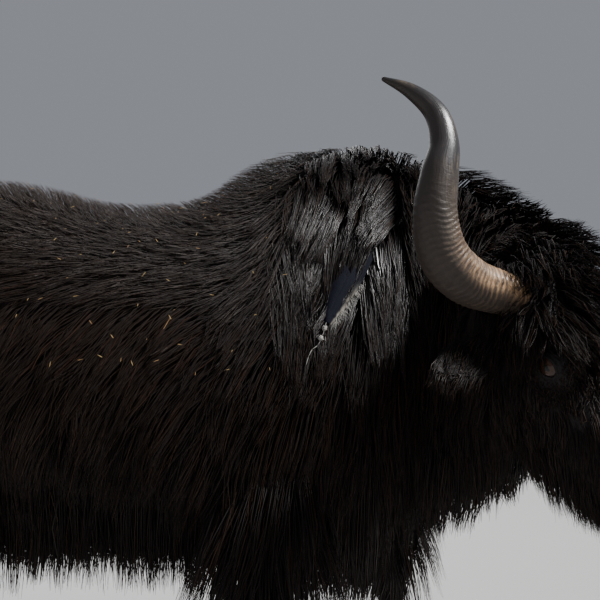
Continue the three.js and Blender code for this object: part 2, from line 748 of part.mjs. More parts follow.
const body = TRUNK.body(...TRUNK_GRID);
let hair = joined([trunkLocks(), rumpLocks(), brisketLocks()]);
for (const leg of LEGS) {
  hair = hair.subtract(legRoom(leg));
}
let torso = body.add(hair);
for (const leg of LEGS) {
  torso = torso.add(new Loft(leg.line, LEFT).body(...LIMB_GRID).subtract(belowLegCut));
}
addNode(animal, "torso", torso.subtract(inFrontOfShoulder).subtract(tailRoom).subtract(ribbonRoom), COAT);

let neck = body.add(neckLocks()).subtract(behindShoulder).subtract(inFrontOfNeck);
for (const side of [-1, 1]) {
  neck = neck.subtract(horn(side, 1).transform(headGroup.matrix.toArray()));
}
addNode(animal, "neck", neck.subtract(ribbonRoom), COAT);
addNode(animal, "tail", TAIL.body(...TAIL_GRID).add(tailLocks()), COAT);
addNode(animal, "mane_ribbon", RIBBON_LINE.body(...RIBBON_GRID), CLOTH);

for (const leg of LEGS) {
  const limb = new Loft(leg.line, LEFT);
  const whole = joined([limb.body(...LIMB_GRID), legLocks(leg, limb), ...dewClaws(leg)]);
  addNode(animal, `leg_${leg.name}`, whole.subtract(aboveLegCut).subtract(belowPastern), COAT);
  for (const [toe, side] of [["right", -1], ["left", 1]]) {
    const [x, y] = leg.hoof;
    addNode(animal, `claw_${leg.name}_${toe}`, claw(x, y + side * CLAW_APART), HOOF);
  }
}

let head = SKULL.body(...SKULL_GRID).add(headLocks());
for (const [name, side] of [["right", -1], ["left", 1]]) {
  head = head.add(lid(side, LID.upper)).add(lid(side, LID.lower)).subtract(nostril(side));
  head = head.subtract(eyeball(side, GAP)).subtract(horn(side, GAP)).subtract(earLeaf(side).body(...EAR_GRID, GAP));
  addNode(headGroup, `ear_${name}`, ear(side), COAT);
  addNode(headGroup, `eye_${name}`, eyeball(side), EYEBALL);
  addNode(headGroup, `horn_${name}`, horn(side), HORN);
}
addNode(headGroup, "head", head.subtract(mouthLine()).subtract(behindHead), COAT);

const size = new THREE.Box3().setFromObject(animal, true);
animal.position.set(-(size.min.x + size.max.x) / 2, -(size.min.y + size.max.y) / 2, -size.min.z);

export default animal;
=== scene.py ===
# A domestic yak bull as a still mount, life size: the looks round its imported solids.
# Metres, in the frame of the solids. The animal faces +X, its head is turned to its own right, towards -Y.
import math

import bpy
import numpy as np
from mathutils import Matrix, Vector
from mathutils.bvhtree import BVHTree
from mathutils.kdtree import KDTree


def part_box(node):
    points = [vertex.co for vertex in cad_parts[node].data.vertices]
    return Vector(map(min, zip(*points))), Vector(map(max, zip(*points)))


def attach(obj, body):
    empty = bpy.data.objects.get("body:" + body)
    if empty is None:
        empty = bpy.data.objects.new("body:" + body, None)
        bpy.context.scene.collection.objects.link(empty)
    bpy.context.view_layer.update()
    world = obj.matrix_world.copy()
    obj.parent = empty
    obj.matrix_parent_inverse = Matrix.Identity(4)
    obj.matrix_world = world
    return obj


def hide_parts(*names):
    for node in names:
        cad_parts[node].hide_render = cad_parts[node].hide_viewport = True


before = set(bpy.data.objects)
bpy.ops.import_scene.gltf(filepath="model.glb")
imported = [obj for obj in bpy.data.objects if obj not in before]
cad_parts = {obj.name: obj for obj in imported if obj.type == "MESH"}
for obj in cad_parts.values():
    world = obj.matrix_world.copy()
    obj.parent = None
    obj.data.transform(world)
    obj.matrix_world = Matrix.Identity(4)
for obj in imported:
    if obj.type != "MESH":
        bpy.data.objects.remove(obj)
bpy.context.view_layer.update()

# The skin.
# One tanned black hide is drawn over a carved body, from the muzzle to the tail and down to the hooves. It
# shows only where the coat is thin, round the eyes, at the lips and on the nose, where it is folded.
UP = np.array([0.0, 0.0, 1.0])
LEFT = np.array([0.0, 1.0, 0.0])
POLL = np.array([0.735, -0.400, 0.962])
HEAD_TURN = math.radians(-60)
HEAD_PITCH = math.radians(50)
EYE_AT = np.array([0.165, 0.093, -0.045])
EYE_RADIUS = 0.020
head_axes = np.array(Matrix.Rotation(HEAD_TURN, 3, "Z") @ Matrix.Rotation(HEAD_PITCH, 3, "Y"))

# The middle of the right eye is where the drawing and the solids are matched.
eye_low, eye_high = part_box("eye_right")
shift = np.array((eye_low + eye_high) / 2) - (POLL + head_axes @ (EYE_AT * (1, -1, 1)))
HEAD = (head_axes, POLL + shift)
BODY = (np.eye(3), shift)


def ramp(value, low, high):
    """Nought to one, smoothly, as a value passes from low to high."""
    share = np.clip((value - low) / (high - low), 0, 1)
    return share * share * (3 - 2 * share)


def mixed(share, first, second):
    share = share if np.ndim(first) < 2 else share[:, None]
    return first * (1 - share) + second * share


def unit(vectors):
    return vectors / np.maximum(np.linalg.norm(vectors, axis=-1, keepdims=True), 1e-9)


def spline(rows, t):
    """Points at the shares t along a smooth curve through the rows."""
    ends = np.vstack([2 * rows[0] - rows[1], rows, 2 * rows[-1] - rows[-2]])
    place = np.clip(t, 0, 1) * (len(rows) - 1)
    step = np.minimum(place.astype(int), len(rows) - 2)
    w = (place - step)[..., None]
    a, b, c, d = (ends[step + k] for k in range(4))
    return b + 0.5 * w * (c - a + w * (2 * a - 5 * b + 4 * c - d + w * (3 * (b - c) + d - a)))


def rings_of(rings, sides, first=0.0, last=1.0):
    """A share along and an angle round for every point of a tube."""
    return np.meshgrid(np.linspace(first, last, rings), np.arange(sides) * 2 * np.pi / sides, indexing="ij")


def tube_walls(rings, sides, turned=False):
    """The faces of a closed tube, end caps included. Turned, they face the other way round."""
    ring, side = np.meshgrid(np.arange(rings - 1), np.arange(sides), indexing="ij")
    a = (ring * sides + side).ravel()
    b = (ring * sides + (side + 1) % sides).ravel()
    walls = [a, a + sides, b + sides, b] if turned else [a, b, b + sides, a + sides]
    last = (rings - 1) * sides
    caps = [list(range(sides))[::-1], list(range(last, last + sides))]
    if turned:
        caps = [cap[::-1] for cap in caps]
    return np.stack(walls, 1).tolist() + caps


class Form:
    """A body drawn through sections: x, y, z, half sizes up, down and side, then fullness above and below."""

    def __init__(self, sections, place=BODY, sideways=None):
        self.rows = np.array([tuple(row) + (2.0,) * (8 - len(row)) for row in sections])
        self.axes, self.origin = place
        self.sideways = UP if sideways is None else np.asarray(sideways, float)
        self.crossed = sideways is None

    def frame(self, t):
        along = unit(spline(self.rows[:, :3], t + 1e-3) - spline(self.rows[:, :3], t - 1e-3))
        side = np.cross(self.sideways, along) if self.crossed else np.broadcast_to(self.sideways, along.shape)
        side = unit(side - (side * along).sum(-1, keepdims=True) * along)
        return along, side, np.cross(along, side)

    def sizes(self, t, grow=0.0):
        row = spline(self.rows[:, 3:], t)
        return row[..., 0] + grow, row[..., 1] + grow, row[..., 2] + grow, row[..., 3], row[..., 4]

    def point(self, t, angle, grow=0.0, hollow=0.0):
        along, side, up = self.frame(t)
        high, low, wide, top, bottom = self.sizes(t, grow)
        c, s = np.cos(angle), np.sin(angle)
        power = 2 / np.where(s < 0, bottom, top)
        across = wide * np.sign(c) * np.abs(c) ** power
        above = np.where(s < 0, low, high) * np.sign(s) * np.abs(s) ** power
        above = np.where(s > 0, above * (1 - hollow) - hollow * low * s * 0.55 + hollow * 0.002, above)
        local = spline(self.rows[:, :3], t) + side * across[..., None] + up * above[..., None]
        return local @ self.axes.T + self.origin

    def shell(self, rings, sides, grow=0.0, hollow=None):
        t, angle = rings_of(rings, sides)
        dent = 0.0 if hollow is None else np.interp(t, *hollow)
        return self.point(t, angle, grow, dent).reshape(-1, 3), tube_walls(rings, sides)

    def locate(self, points, samples=240):
        """Share along, angle round and distance outside the surface, for points in the frame."""
        local = (points - self.origin) @ self.axes
        shares = np.linspace(0, 1, samples)
        middle = spline(self.rows[:, :3], shares)
        t = shares[((middle**2).sum(1) - 2 * local @ middle.T).argmin(1)]
        along, side, up = self.frame(t)
        offset = local - spline(self.rows[:, :3], t)
        across, above = (offset * side).sum(1), (offset * up).sum(1)
        high, low, wide, top, bottom = self.sizes(t)
        power = np.where(above < 0, bottom, top)
        tall = np.where(above < 0, low, high)
        share = (np.abs(across / wide) ** power + np.abs(above / tall) ** power) ** (1 / power)
        outside = np.hypot(across, above) * (1 - 1 / np.maximum(share, 0.01))
        beyond = np.abs((offset * along).sum(1))
        return t, np.arctan2(above, across), np.maximum(outside, beyond - 0.01)


def egg(centre, radii, place=HEAD, rings=18, sides=24):
    """A closed rounded lump."""
    swing, angle = rings_of(rings, sides, 0.02, np.pi - 0.02)
    ball = np.stack([np.cos(swing), np.sin(swing) * np.cos(angle), np.sin(swing) * np.sin(angle)], -1)
    points = (ball * radii + centre).reshape(-1, 3) @ place[0].T + place[1]
    return points, tube_walls(rings, sides, turned=True)


def piece(name, *shells):
    """One mesh object from shells of points and faces."""
    points, faces, start = [], [], 0
    for corners, walls in shells:
        points.append(corners)
        faces.extend([[start + corner for corner in wall] for wall in walls])
        start += len(corners)
    mesh = bpy.data.meshes.new(name)
    mesh.from_pydata(np.vstack(points).tolist(), [], faces)
    made = bpy.data.objects.new(name, mesh)
    bpy.context.scene.collection.objects.link(made)
    return made


def settled(made):
    """Its modifiers worked into the mesh and taken off."""
    graph = bpy.context.evaluated_depsgraph_get()
    graph.update()
    old = made.data
    made.data = bpy.data.meshes.new_from_object(made.evaluated_get(graph))
    made.modifiers.clear()
    bpy.data.meshes.remove(old)
    return made


def remeshed(made, voxel, smooth):
    made.modifiers.new("even", "REMESH").mode = "VOXEL"
    made.modifiers["even"].voxel_size = voxel
    softer = made.modifiers.new("softer", "SMOOTH")
    softer.factor = 0.5
    softer.iterations = smooth
    return settled(made)


def worked(made, other, operation):
    """One solid joined to another, or cut by it."""
    step = made.modifiers.new("step", "BOOLEAN")
    step.operation = operation
    step.solver = "MANIFOLD"
    step.object = other
    settled(made)
    bpy.data.objects.remove(other)
    return made


def vectors_of(items, key):
    """A vector of every item, as rows."""
    values = np.zeros(len(items) * 3)
    items.foreach_get(key, values)
    return values.reshape(-1, 3)


def corners_of(made):
    return vectors_of(made.data.vertices, "co")


def normals_of(made):
    return vectors_of(made.data.vertex_normals, "vector")


def mark(made, values):
    """Every corner of a mesh keeps these values, under their names."""
    for key, value in values.items():
        made.data.attributes.new(key, "FLOAT", "POINT").data.foreach_set("value", np.ravel(value))


def smooth(made):
    made.data.polygons.foreach_set("use_smooth", [True] * len(made.data.polygons))


trunk = Form([
    (-0.704, 0, 0.870, 0.030, 0.070, 0.030),
    (-0.694, 0, 0.865, 0.110, 0.170, 0.100),
    (-0.668, 0, 0.860, 0.170, 0.225, 0.152),
    (-0.610, 0, 0.852, 0.262, 0.258, 0.206),
    (-0.480, 0, 0.840, 0.345, 0.255, 0.258),
    (-0.300, 0, 0.825, 0.356, 0.240, 0.298),
    (-0.100, 0, 0.812, 0.326, 0.250, 0.316),
    (0.100, 0, 0.812, 0.338, 0.265, 0.302, 1.9),
    (0.250, 0, 0.825, 0.396, 0.285, 0.276, 1.7),
    (0.380, 0, 0.840, 0.430, 0.302, 0.248, 1.6),
    (0.500, 0, 0.850, 0.424, 0.312, 0.222, 1.6),
    (0.600, -0.028, 0.858, 0.372, 0.300, 0.192, 1.7),
    (0.682, -0.100, 0.860, 0.290, 0.282, 0.162, 1.8),
    (0.735, -0.190, 0.858, 0.225, 0.250, 0.140),
    (0.752, -0.285, 0.850, 0.186, 0.195, 0.122),
    (0.750, -0.375, 0.838, 0.150, 0.150, 0.108),
])
tail = Form([
    (-0.655, 0, 1.035, 0.026, 0.026, 0.028),
    (-0.708, 0, 1.016, 0.026, 0.026, 0.030),
    (-0.748, 0, 0.930, 0.026, 0.028, 0.036),
    (-0.768, 0, 0.790, 0.034, 0.036, 0.050),
    (-0.776, 0, 0.640, 0.038, 0.040, 0.056),
    (-0.778, 0, 0.540, 0.016, 0.018, 0.024),
], sideways=LEFT)

# A foreleg is one drawing, set at two places and swung a little, and so is a hind leg. Each leg has sizes,
# heights, places forwards and sideways at those heights, and the middle of its hoof.
FORE_SIZES = [(0.100, 0.110, 0.070), (0.082, 0.092, 0.068), (0.062, 0.066, 0.056), (0.050, 0.044, 0.047),
              (0.038, 0.038, 0.038), (0.031, 0.034, 0.031), (0.036, 0.046, 0.040), (0.038, 0.046, 0.046)]
FORE_HEIGHTS = (0.770, 0.500, 0.410, 0.335, 0.285, 0.190, 0.112, 0.055)
HIND_SIZES = [(0.180, 0.160, 0.090), (0.130, 0.130, 0.092), (0.092, 0.092, 0.074), (0.054, 0.066, 0.048),
              (0.044, 0.052, 0.042), (0.036, 0.038, 0.034), (0.034, 0.036, 0.033), (0.038, 0.048, 0.041),
              (0.038, 0.046, 0.046)]
HIND_HEIGHTS = (0.760, 0.600, 0.500, 0.415, 0.360, 0.270, 0.180, 0.112, 0.055)
LEGS = {
    "front_right": (FORE_SIZES, FORE_HEIGHTS, (0.254, 0.243, 0.236, 0.233, 0.231, 0.229, 0.229, 0.238),
                    (-0.140, -0.186, -0.190), (0.242, -0.190)),
    "front_left": (FORE_SIZES, FORE_HEIGHTS, (0.440, 0.482, 0.500, 0.512, 0.517, 0.522, 0.524, 0.533),
                   (0.130, 0.184, 0.190), (0.537, 0.190)),
    "hind_right": (HIND_SIZES, HIND_HEIGHTS,
                   (-0.470, -0.440, -0.462, -0.512, -0.522, -0.506, -0.490, -0.480, -0.470),
                   (-0.130, -0.168, -0.172), (-0.466, -0.172)),
    "hind_left": (HIND_SIZES, HIND_HEIGHTS,
                  (-0.510, -0.535, -0.572, -0.632, -0.646, -0.634, -0.622, -0.613, -0.603),
                  (0.130, 0.168, 0.172), (-0.599, 0.172)),
}
legs = {}
for name, (sizes, heights, forwards, sideways, _) in LEGS.items():
    aside = sideways + (sideways[-1],) * (len(sizes) - len(sideways))
    rows = [(x, y, z) + size for x, y, z, size in zip(forwards, aside, heights, sizes)]
    legs[name] = Form(rows, sideways=LEFT)

skull = Form([
    (-0.062, 0, -0.100, 0.062, 0.070, 0.074),
    (-0.020, 0, -0.092, 0.092, 0.104, 0.106, 2.7),
    (0.050, 0, -0.088, 0.094, 0.122, 0.121, 3.1),
    (0.120, 0, -0.088, 0.088, 0.134, 0.117, 2.8),
    (0.190, 0, -0.088, 0.077, 0.132, 0.104, 2.4),
    (0.265, 0, -0.090, 0.064, 0.112, 0.084, 2.3),
    (0.335, 0, -0.092, 0.052, 0.084, 0.069, 2.2),
    (0.400, 0, -0.094, 0.049, 0.066, 0.067, 2.4),
    (0.446, 0, -0.097, 0.046, 0.058, 0.064, 2.5),
    (0.470, 0, -0.101, 0.036, 0.044, 0.052, 2.4),
    (0.482, 0, -0.104, 0.016, 0.022, 0.028),
], HEAD)


def ear_leaf(side):
    return Form([
        (0.066, side * 0.098, -0.093, 0.020, 0.020, 0.022),
        (0.074, side * 0.120, -0.100, 0.020, 0.019, 0.028),
        (0.084, side * 0.150, -0.108, 0.017, 0.015, 0.038),
        (0.094, side * 0.188, -0.116, 0.014, 0.012, 0.036),
        (0.103, side * 0.222, -0.122, 0.008, 0.007, 0.020),
        (0.107, side * 0.240, -0.125, 0.003, 0.003, 0.006),
    ], HEAD, sideways=(-side, 0, 0))


ears = {"right": ear_leaf(-1), "left": ear_leaf(1)}
EAR_HOLLOW = ((0.0, 0.22, 0.4, 0.85, 1.0), (0.0, 0.0, 1.0, 0.9, 0.0))

# How deep the coat's roots lie under the outline, part by part.
TRUNK_DEPTH = -0.012
LIMB_DEPTH = -0.006
TAIL_DEPTH = -0.012
HEAD_DEPTH = -0.006
EAR_DEPTH = -0.002

hide = piece("skin", trunk.shell(150, 96, TRUNK_DEPTH), tail.shell(60, 24, TAIL_DEPTH),
             *[leg.shell(80, 32, LIMB_DEPTH) for leg in legs.values()])
remeshed(hide, 0.0098, 8)

# Bridge of the nose and chin, then on each side the orbit, brow, cheek, nostril and upper lip.
lumps = [
    egg((0.265, 0, -0.048), (0.150, 0.030, 0.014)),
    egg((0.440, 0, -0.146), (0.036, 0.042, 0.020)),
]
for side in (-1, 1):
    lumps += [
        egg((0.165, side * 0.084, -0.046), (0.042, 0.019, 0.036)),
        egg((0.140, side * 0.074, -0.018), (0.050, 0.022, 0.018)),
        egg((0.095, side * 0.086, -0.130), (0.070, 0.032, 0.066)),
        egg((0.452, side * 0.042, -0.086), (0.034, 0.024, 0.030)),
        egg((0.400, side * 0.044, -0.118), (0.050, 0.024, 0.022)),
    ]
head = piece("head", skull.shell(100, 80, HEAD_DEPTH), *lumps)
remeshed(head, 0.0037, 5)

# Folds are pressed into the head: mouth, nostrils, the groove under the nose and creases round the muzzle.
local = (corners_of(head) - HEAD[1]) @ HEAD[0]
out = normals_of(head) @ HEAD[0]
x, y, z = local.T
depth = np.zeros(len(local))
FOLDS = {"mouth": 0.007, "nostril": 0.016, "groove": 0.004, "crease": 0.0012}
mouth_line = z + 0.126 + 0.10 * (x - 0.44) ** 2 * 8
mouth = np.exp(-((mouth_line / 0.0035) ** 2)) * np.clip((x - 0.365) / 0.02, 0, 1)
depth += FOLDS["mouth"] * mouth
for side in (-1, 1):
    inside = np.hypot((x - 0.468) / 0.016, (z + 0.083 + 0.35 * (y * side - 0.05)) / 0.009)
    depth += FOLDS["nostril"] * np.exp(-(inside**2)) * (y * side > 0.022)
depth += FOLDS["groove"] * np.exp(-((y / 0.004) ** 2)) * (x > 0.45) * np.exp(-(((z + 0.108) / 0.02) ** 2))
muzzle = np.clip((x - 0.33) / 0.05, 0, 1) * (z > -0.12) * (x < 0.44)
depth += FOLDS["crease"] * np.sin(x * 700 + 40 * np.abs(y)) * muzzle
moved = local - out * depth[:, None]
head.data.vertices.foreach_set("co", (moved @ HEAD[0].T + HEAD[1]).ravel())
head.data.update()

# Each lid is a rolled rim round an almond opening, with one fold behind it.
# Its profile is in degrees past the rim and millimetres above the eye; the opening is in degrees.
LID_PROFILE = ((0, 0.3), (1.5, 2.0), (5, 3.2), (10, 3.3), (15, 2.2), (21, 3.6), (32, 4.4), (46, 4.6),
               (60, 2.0), (60, 0.6), (40, 0.5), (20, 0.4), (6, 0.3))
OPENING = {"long": 56, "above": 38, "below": 29, "fullness": 1.7}


def eye_frame(side):
    aim = unit(np.array([0.36, side, 0.16]))
    level = np.array([1.0, 0, -0.12])
    along = unit(level - aim * np.dot(aim, level))
    return aim, along, -side * np.cross(along, aim)


def lids(side):
    aim, along, up = eye_frame(side)
    around = 72
    turn = np.arange(around) * 2 * np.pi / around
    c, s = np.cos(turn), np.sin(turn)
    tall = np.where(s > 0, OPENING["above"], OPENING["below"])
    full = OPENING["fullness"]
    edge = ((np.abs(c) / OPENING["long"]) ** full + (np.abs(s) / tall) ** full) ** (-1 / full)
    ring = []
    for past, rise in LID_PROFILE:
        swing = np.radians(edge + past * (1 - 0.35 * np.abs(c) ** 3))
        ball = np.cos(swing)[:, None] * aim + np.sin(swing)[:, None] * (c[:, None] * along + s[:, None] * up)
        ring.append(EYE_AT * (1, side, 1) + ball * (EYE_RADIUS + rise / 1000))
    points = np.array(ring).transpose(1, 0, 2)
    count = len(LID_PROFILE)
    a, b = np.meshgrid(np.arange(around), np.arange(count), indexing="ij")
    steps = ((0, 0), (0, 1), (1, 1), (1, 0))
    walls = np.stack([(((a + i) % around) * count + (b + j) % count).ravel() for i, j in steps], 1)
    if side < 0:
        walls = walls[:, ::-1]
    return points.reshape(-1, 3) @ HEAD[0].T + HEAD[1], walls.tolist()


for side in (-1, 1):
    socket = piece("socket", egg(EYE_AT * (1, side, 1), (EYE_RADIUS + 0.0006,) * 3, rings=32, sides=48))
    worked(head, socket, "DIFFERENCE")
    worked(head, piece("lid", lids(side)), "UNION")
for name, leaf in ears.items():
    worked(head, piece("ear", leaf.shell(70, 48, EAR_DEPTH, EAR_HOLLOW)), "UNION")
worked(hide, head, "UNION")
smooth(hide)
hide.data.materials.clear()
hide.data.polygons.foreach_set("material_index", [0] * len(hide.data.polygons))

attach(hide, "root")
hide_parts("torso", "neck", "head", "tail", *[f"leg_{name}" for name in LEGS], "ear_right", "ear_left")


class Flow:
    """A socket of a material, on which plain sums can be written."""

    def __init__(self, tree, socket):
        self.tree = tree
        self.socket = socket

    def maths(self, operation, *values):
        return node(self.tree, "ShaderNodeMath", {"operation": operation}, dict(enumerate(values)))

    def __add__(self, other):
        return self.maths("ADD", self, other)

    def __sub__(self, other):
        return self.maths("SUBTRACT", self, other)

    def __rsub__(self, other):
        return self.maths("SUBTRACT", other, self)

    def __mul__(self, other):
        return self.maths("MULTIPLY", self, other)

    def __truediv__(self, other):
        return self.maths("DIVIDE", self, other)

    def __rtruediv__(self, other):
        return self.maths("DIVIDE", other, self)

    def __pow__(self, other):
        return self.maths("POWER", self, other)

    def __rpow__(self, other):
        return self.maths("POWER", other, self)

    __radd__ = __add__
    __rmul__ = __mul__


def node(tree, kind, settings=None, inputs=None, output=0):
    """A node: first its settings, of which a ramp's stops are one, then its inputs, as values or as flows."""
    made = tree.nodes.new(kind)
    for name, value in (settings or {}).items():
        if name == "stops":
            while len(made.color_ramp.elements) < len(value):
                made.color_ramp.elements.new(0.5)
            for element, (place, colour) in zip(made.color_ramp.elements, value):
                element.position = place
                element.color = (*colour, 1)
        else:
            setattr(made, name, value)
    for name, value in (inputs or {}).items():
        if isinstance(value, Flow):
            tree.links.new(value.socket, made.inputs[name])
        else:
            made.inputs[name].default_value = value
    return Flow(tree, made.outputs[output])


def blend(tree, factor, first, second):
    """A colour between two colours."""
    first, second = ((*value, 1) if isinstance(value, tuple) else value for value in (first, second))
    return node(tree, "ShaderNodeMix", {"data_type": "RGBA"}, {0: factor, 6: first, 7: second}, output=2)


def span(tree, value, low, high, first=0.0, last=1.0):
    """From the first number to the last, as a value passes from low to high."""
    inputs = {"Value": value, "From Min": low, "From Max": high, "To Min": first, "To Max": last}
    return node(tree, "ShaderNodeMapRange", {}, inputs)


def relief(tree, height, strength, distance):
    """A normal for a surface of this height."""
    return node(tree, "ShaderNodeBump", {}, {"Height": height, "Strength": strength, "Distance": distance})


def finish(name, build, **constants):
    """A material: build gives the linked sockets of its Principled shader, constants are set on it."""
    material = bpy.data.materials.new(name)
    material.use_nodes = True
    tree = material.node_tree
    shader = tree.nodes["Principled BSDF"]
    for socket, flow in build(tree).items():
        tree.links.new(flow.socket, shader.inputs[socket])
    for socket, value in constants.items():
        shader.inputs[socket.replace("_", " ")].default_value = value
    return material


def noise_at(tree, place, scale, detail, rough):
    inputs = {"Vector": place, "Scale": scale, "Detail": detail, "Roughness": rough}
    return node(tree, "ShaderNodeTexNoise", {}, inputs)


def noise(tree, scale, detail=3.0, stretch=(1, 1, 1), rough=0.55):
    place = node(tree, "ShaderNodeTexCoord", output=3)
    place = node(tree, "ShaderNodeMapping", {}, {"Vector": place, "Scale": stretch})
    return noise_at(tree, place, scale, detail, rough)


def attribute(tree, name):
    return node(tree, "ShaderNodeAttribute", {"attribute_type": "GEOMETRY", "attribute_name": name}, output=2)


BLACK = (0.0042, 0.0038, 0.0040)
BROWN = (0.020, 0.0115, 0.0078)
RUST = (0.050, 0.024, 0.013)


def markings(tree):
    """Black, with a brown tinge in soft patches that is strongest on the upper flank."""
    patch = noise(tree, 2.6, 2.0)
    place = node(tree, "ShaderNodeTexCoord", output=3)
    high = span(tree, node(tree, "ShaderNodeSeparateXYZ", {}, {0: place}, output=2), 0.6, 1.0)
    back = span(tree, node(tree, "ShaderNodeSeparateXYZ", {}, {0: place}, output=0), 0.25, -0.1)
    return blend(tree, patch * (0.35 + high * back * 0.9), BLACK, BROWN)


def skin_surface(tree):
    wrinkles = relief(tree, noise(tree, 420.0, 2.0, (1, 1, 0.35)), 0.5, 0.004)
    return {"Base Color": markings(tree), "Roughness": noise(tree, 40.0) * 0.3 + 0.45, "Normal": wrinkles}


hide.data.materials.append(finish("hide", skin_surface, Specular_IOR_Level=0.22))

# Eyes.
# Glass eyes, as a taxidermist sets them: a dark ball with a raised front, a broad brown iris and a level,
# oblong pupil. Each sits in the skin's socket behind the lids.
EYE_GLASS = {"rings": 64, "sides": 64, "front_rise": 0.0011, "front_spread": 30}


def eye(side):
    aim, along, up = eye_frame(side)
    rings, sides = EYE_GLASS["rings"], EYE_GLASS["sides"]
    swing, turn = rings_of(rings, sides, 0.004, np.pi - 0.004)
    ball = (np.cos(swing)[..., None] * aim
            + np.sin(swing)[..., None] * (np.cos(turn)[..., None] * along + np.sin(turn)[..., None] * up))
    rise = EYE_GLASS["front_rise"] * np.exp(-(np.degrees(swing) / EYE_GLASS["front_spread"]) ** 2)
    points = (EYE_AT * (1, side, 1) + ball * (EYE_RADIUS + rise)[..., None]).reshape(-1, 3)
    walls = tube_walls(rings, sides, turned=True)
    made = piece(f"eye_glass_{SIDES[side]}", (points @ HEAD[0].T + HEAD[1], walls))
    mark(made, {"along": ball @ along, "up": ball @ up})
    return made


def eye_surface(tree):
    along, up = attribute(tree, "along"), attribute(tree, "up")
    grain = noise(tree, 900.0, 2.0)
    pupil = span(tree, (along / 0.34) ** 2 + (up / 0.17) ** 2, 0.85, 1.1)
    rim = span(tree, along * along + up * up + grain * 0.04, 0.36, 0.46)
    iris = blend(tree, grain, (0.055, 0.022, 0.009), (0.014, 0.006, 0.004))
    iris = blend(tree, pupil, (0.002, 0.002, 0.003), iris)
    white = blend(tree, rim, iris, (0.030, 0.018, 0.015))
    return {"Base Color": white}


SIDES = {-1: "right", 1: "left"}
glass = finish("eye_glass", eye_surface, Roughness=0.15, Specular_IOR_Level=0.2, Coat_Weight=0.25,
               Coat_Roughness=0.03)
for side, name in SIDES.items():
    ball = eye(side)
    smooth(ball)
    ball.data.materials.append(glass)
    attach(ball, "root")
    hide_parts(f"eye_{name}")

# Horns.
# Hollow sheaths of horn over a bony core. The base is thick, tan and ringed with close rough growth ridges.
# Past the bend the sheath is smooth, dark grey and polished, with a slender tip.
HORN = (
    (0.034, 0.066, -0.046, 0.0250), (0.026, 0.116, -0.031, 0.0340), (0.012, 0.193, -0.020, 0.0385),
    (-0.009, 0.250, 0.010, 0.0380), (-0.043, 0.278, 0.057, 0.0335), (-0.081, 0.277, 0.100, 0.0290),
    (-0.118, 0.268, 0.131, 0.0225), (-0.165, 0.272, 0.152, 0.0175), (-0.213, 0.296, 0.154, 0.0115),
    (-0.258, 0.324, 0.142, 0.0030),
)
HORN_RINGS = 380
HORN_SIDES = 56
GROWTH_RIDGES = 35
RIDGED = 0.56
RIDGE_HEIGHT = 0.0015


def horn(side):
    form = Form([(x, side * y, z, r, r, r) for x, y, z, r in HORN], HEAD)
    t, angle = rings_of(HORN_RINGS, HORN_SIDES)
    uneven = 0.30 * np.sin(3 * angle + 9 * t) + 0.24 * np.sin(5 * angle - 23 * t) + 0.4 * np.sin(31 * t)
    crest, phase = np.divmod(t / RIDGED * GROWTH_RIDGES + uneven, 1)
    ridge = np.where(phase < 0.72, phase / 0.72, (1 - phase) / 0.28) ** 2
    rough = (0.35 + 0.65 * np.abs(np.sin(12.9 * crest + 1.3 * angle))) * (1 - ramp(t, 0.40, RIDGED))
    long_furrow = 0.00025 * np.sin(11 * angle + 4 * t) * (1 - ramp(t, 0.3, 0.7))
    grow = RIDGE_HEIGHT * (ridge - 0.5) * rough + long_furrow
    closing = np.where(t > 0.992, -0.0022 * ((t - 0.992) / 0.008) ** 2, 0)
    points = form.point(t, angle, grow + closing).reshape(-1, 3)
    made = piece(f"horn_sheath_{SIDES[side]}", (points, tube_walls(HORN_RINGS, HORN_SIDES)))
    # Painted shade: this under mask darkens the sheath's colour where it faces down and to the rear, away
    # from the sun.
    under = 1 - ramp(normals_of(made) @ np.array([0.6, 0.0, 0.8]), -0.30, 0.45)
    mark(made, {"along": t, "ridge": ridge * rough, "round": np.cos(angle), "across": np.sin(angle)})
    mark(made, {"under": under})
    return made


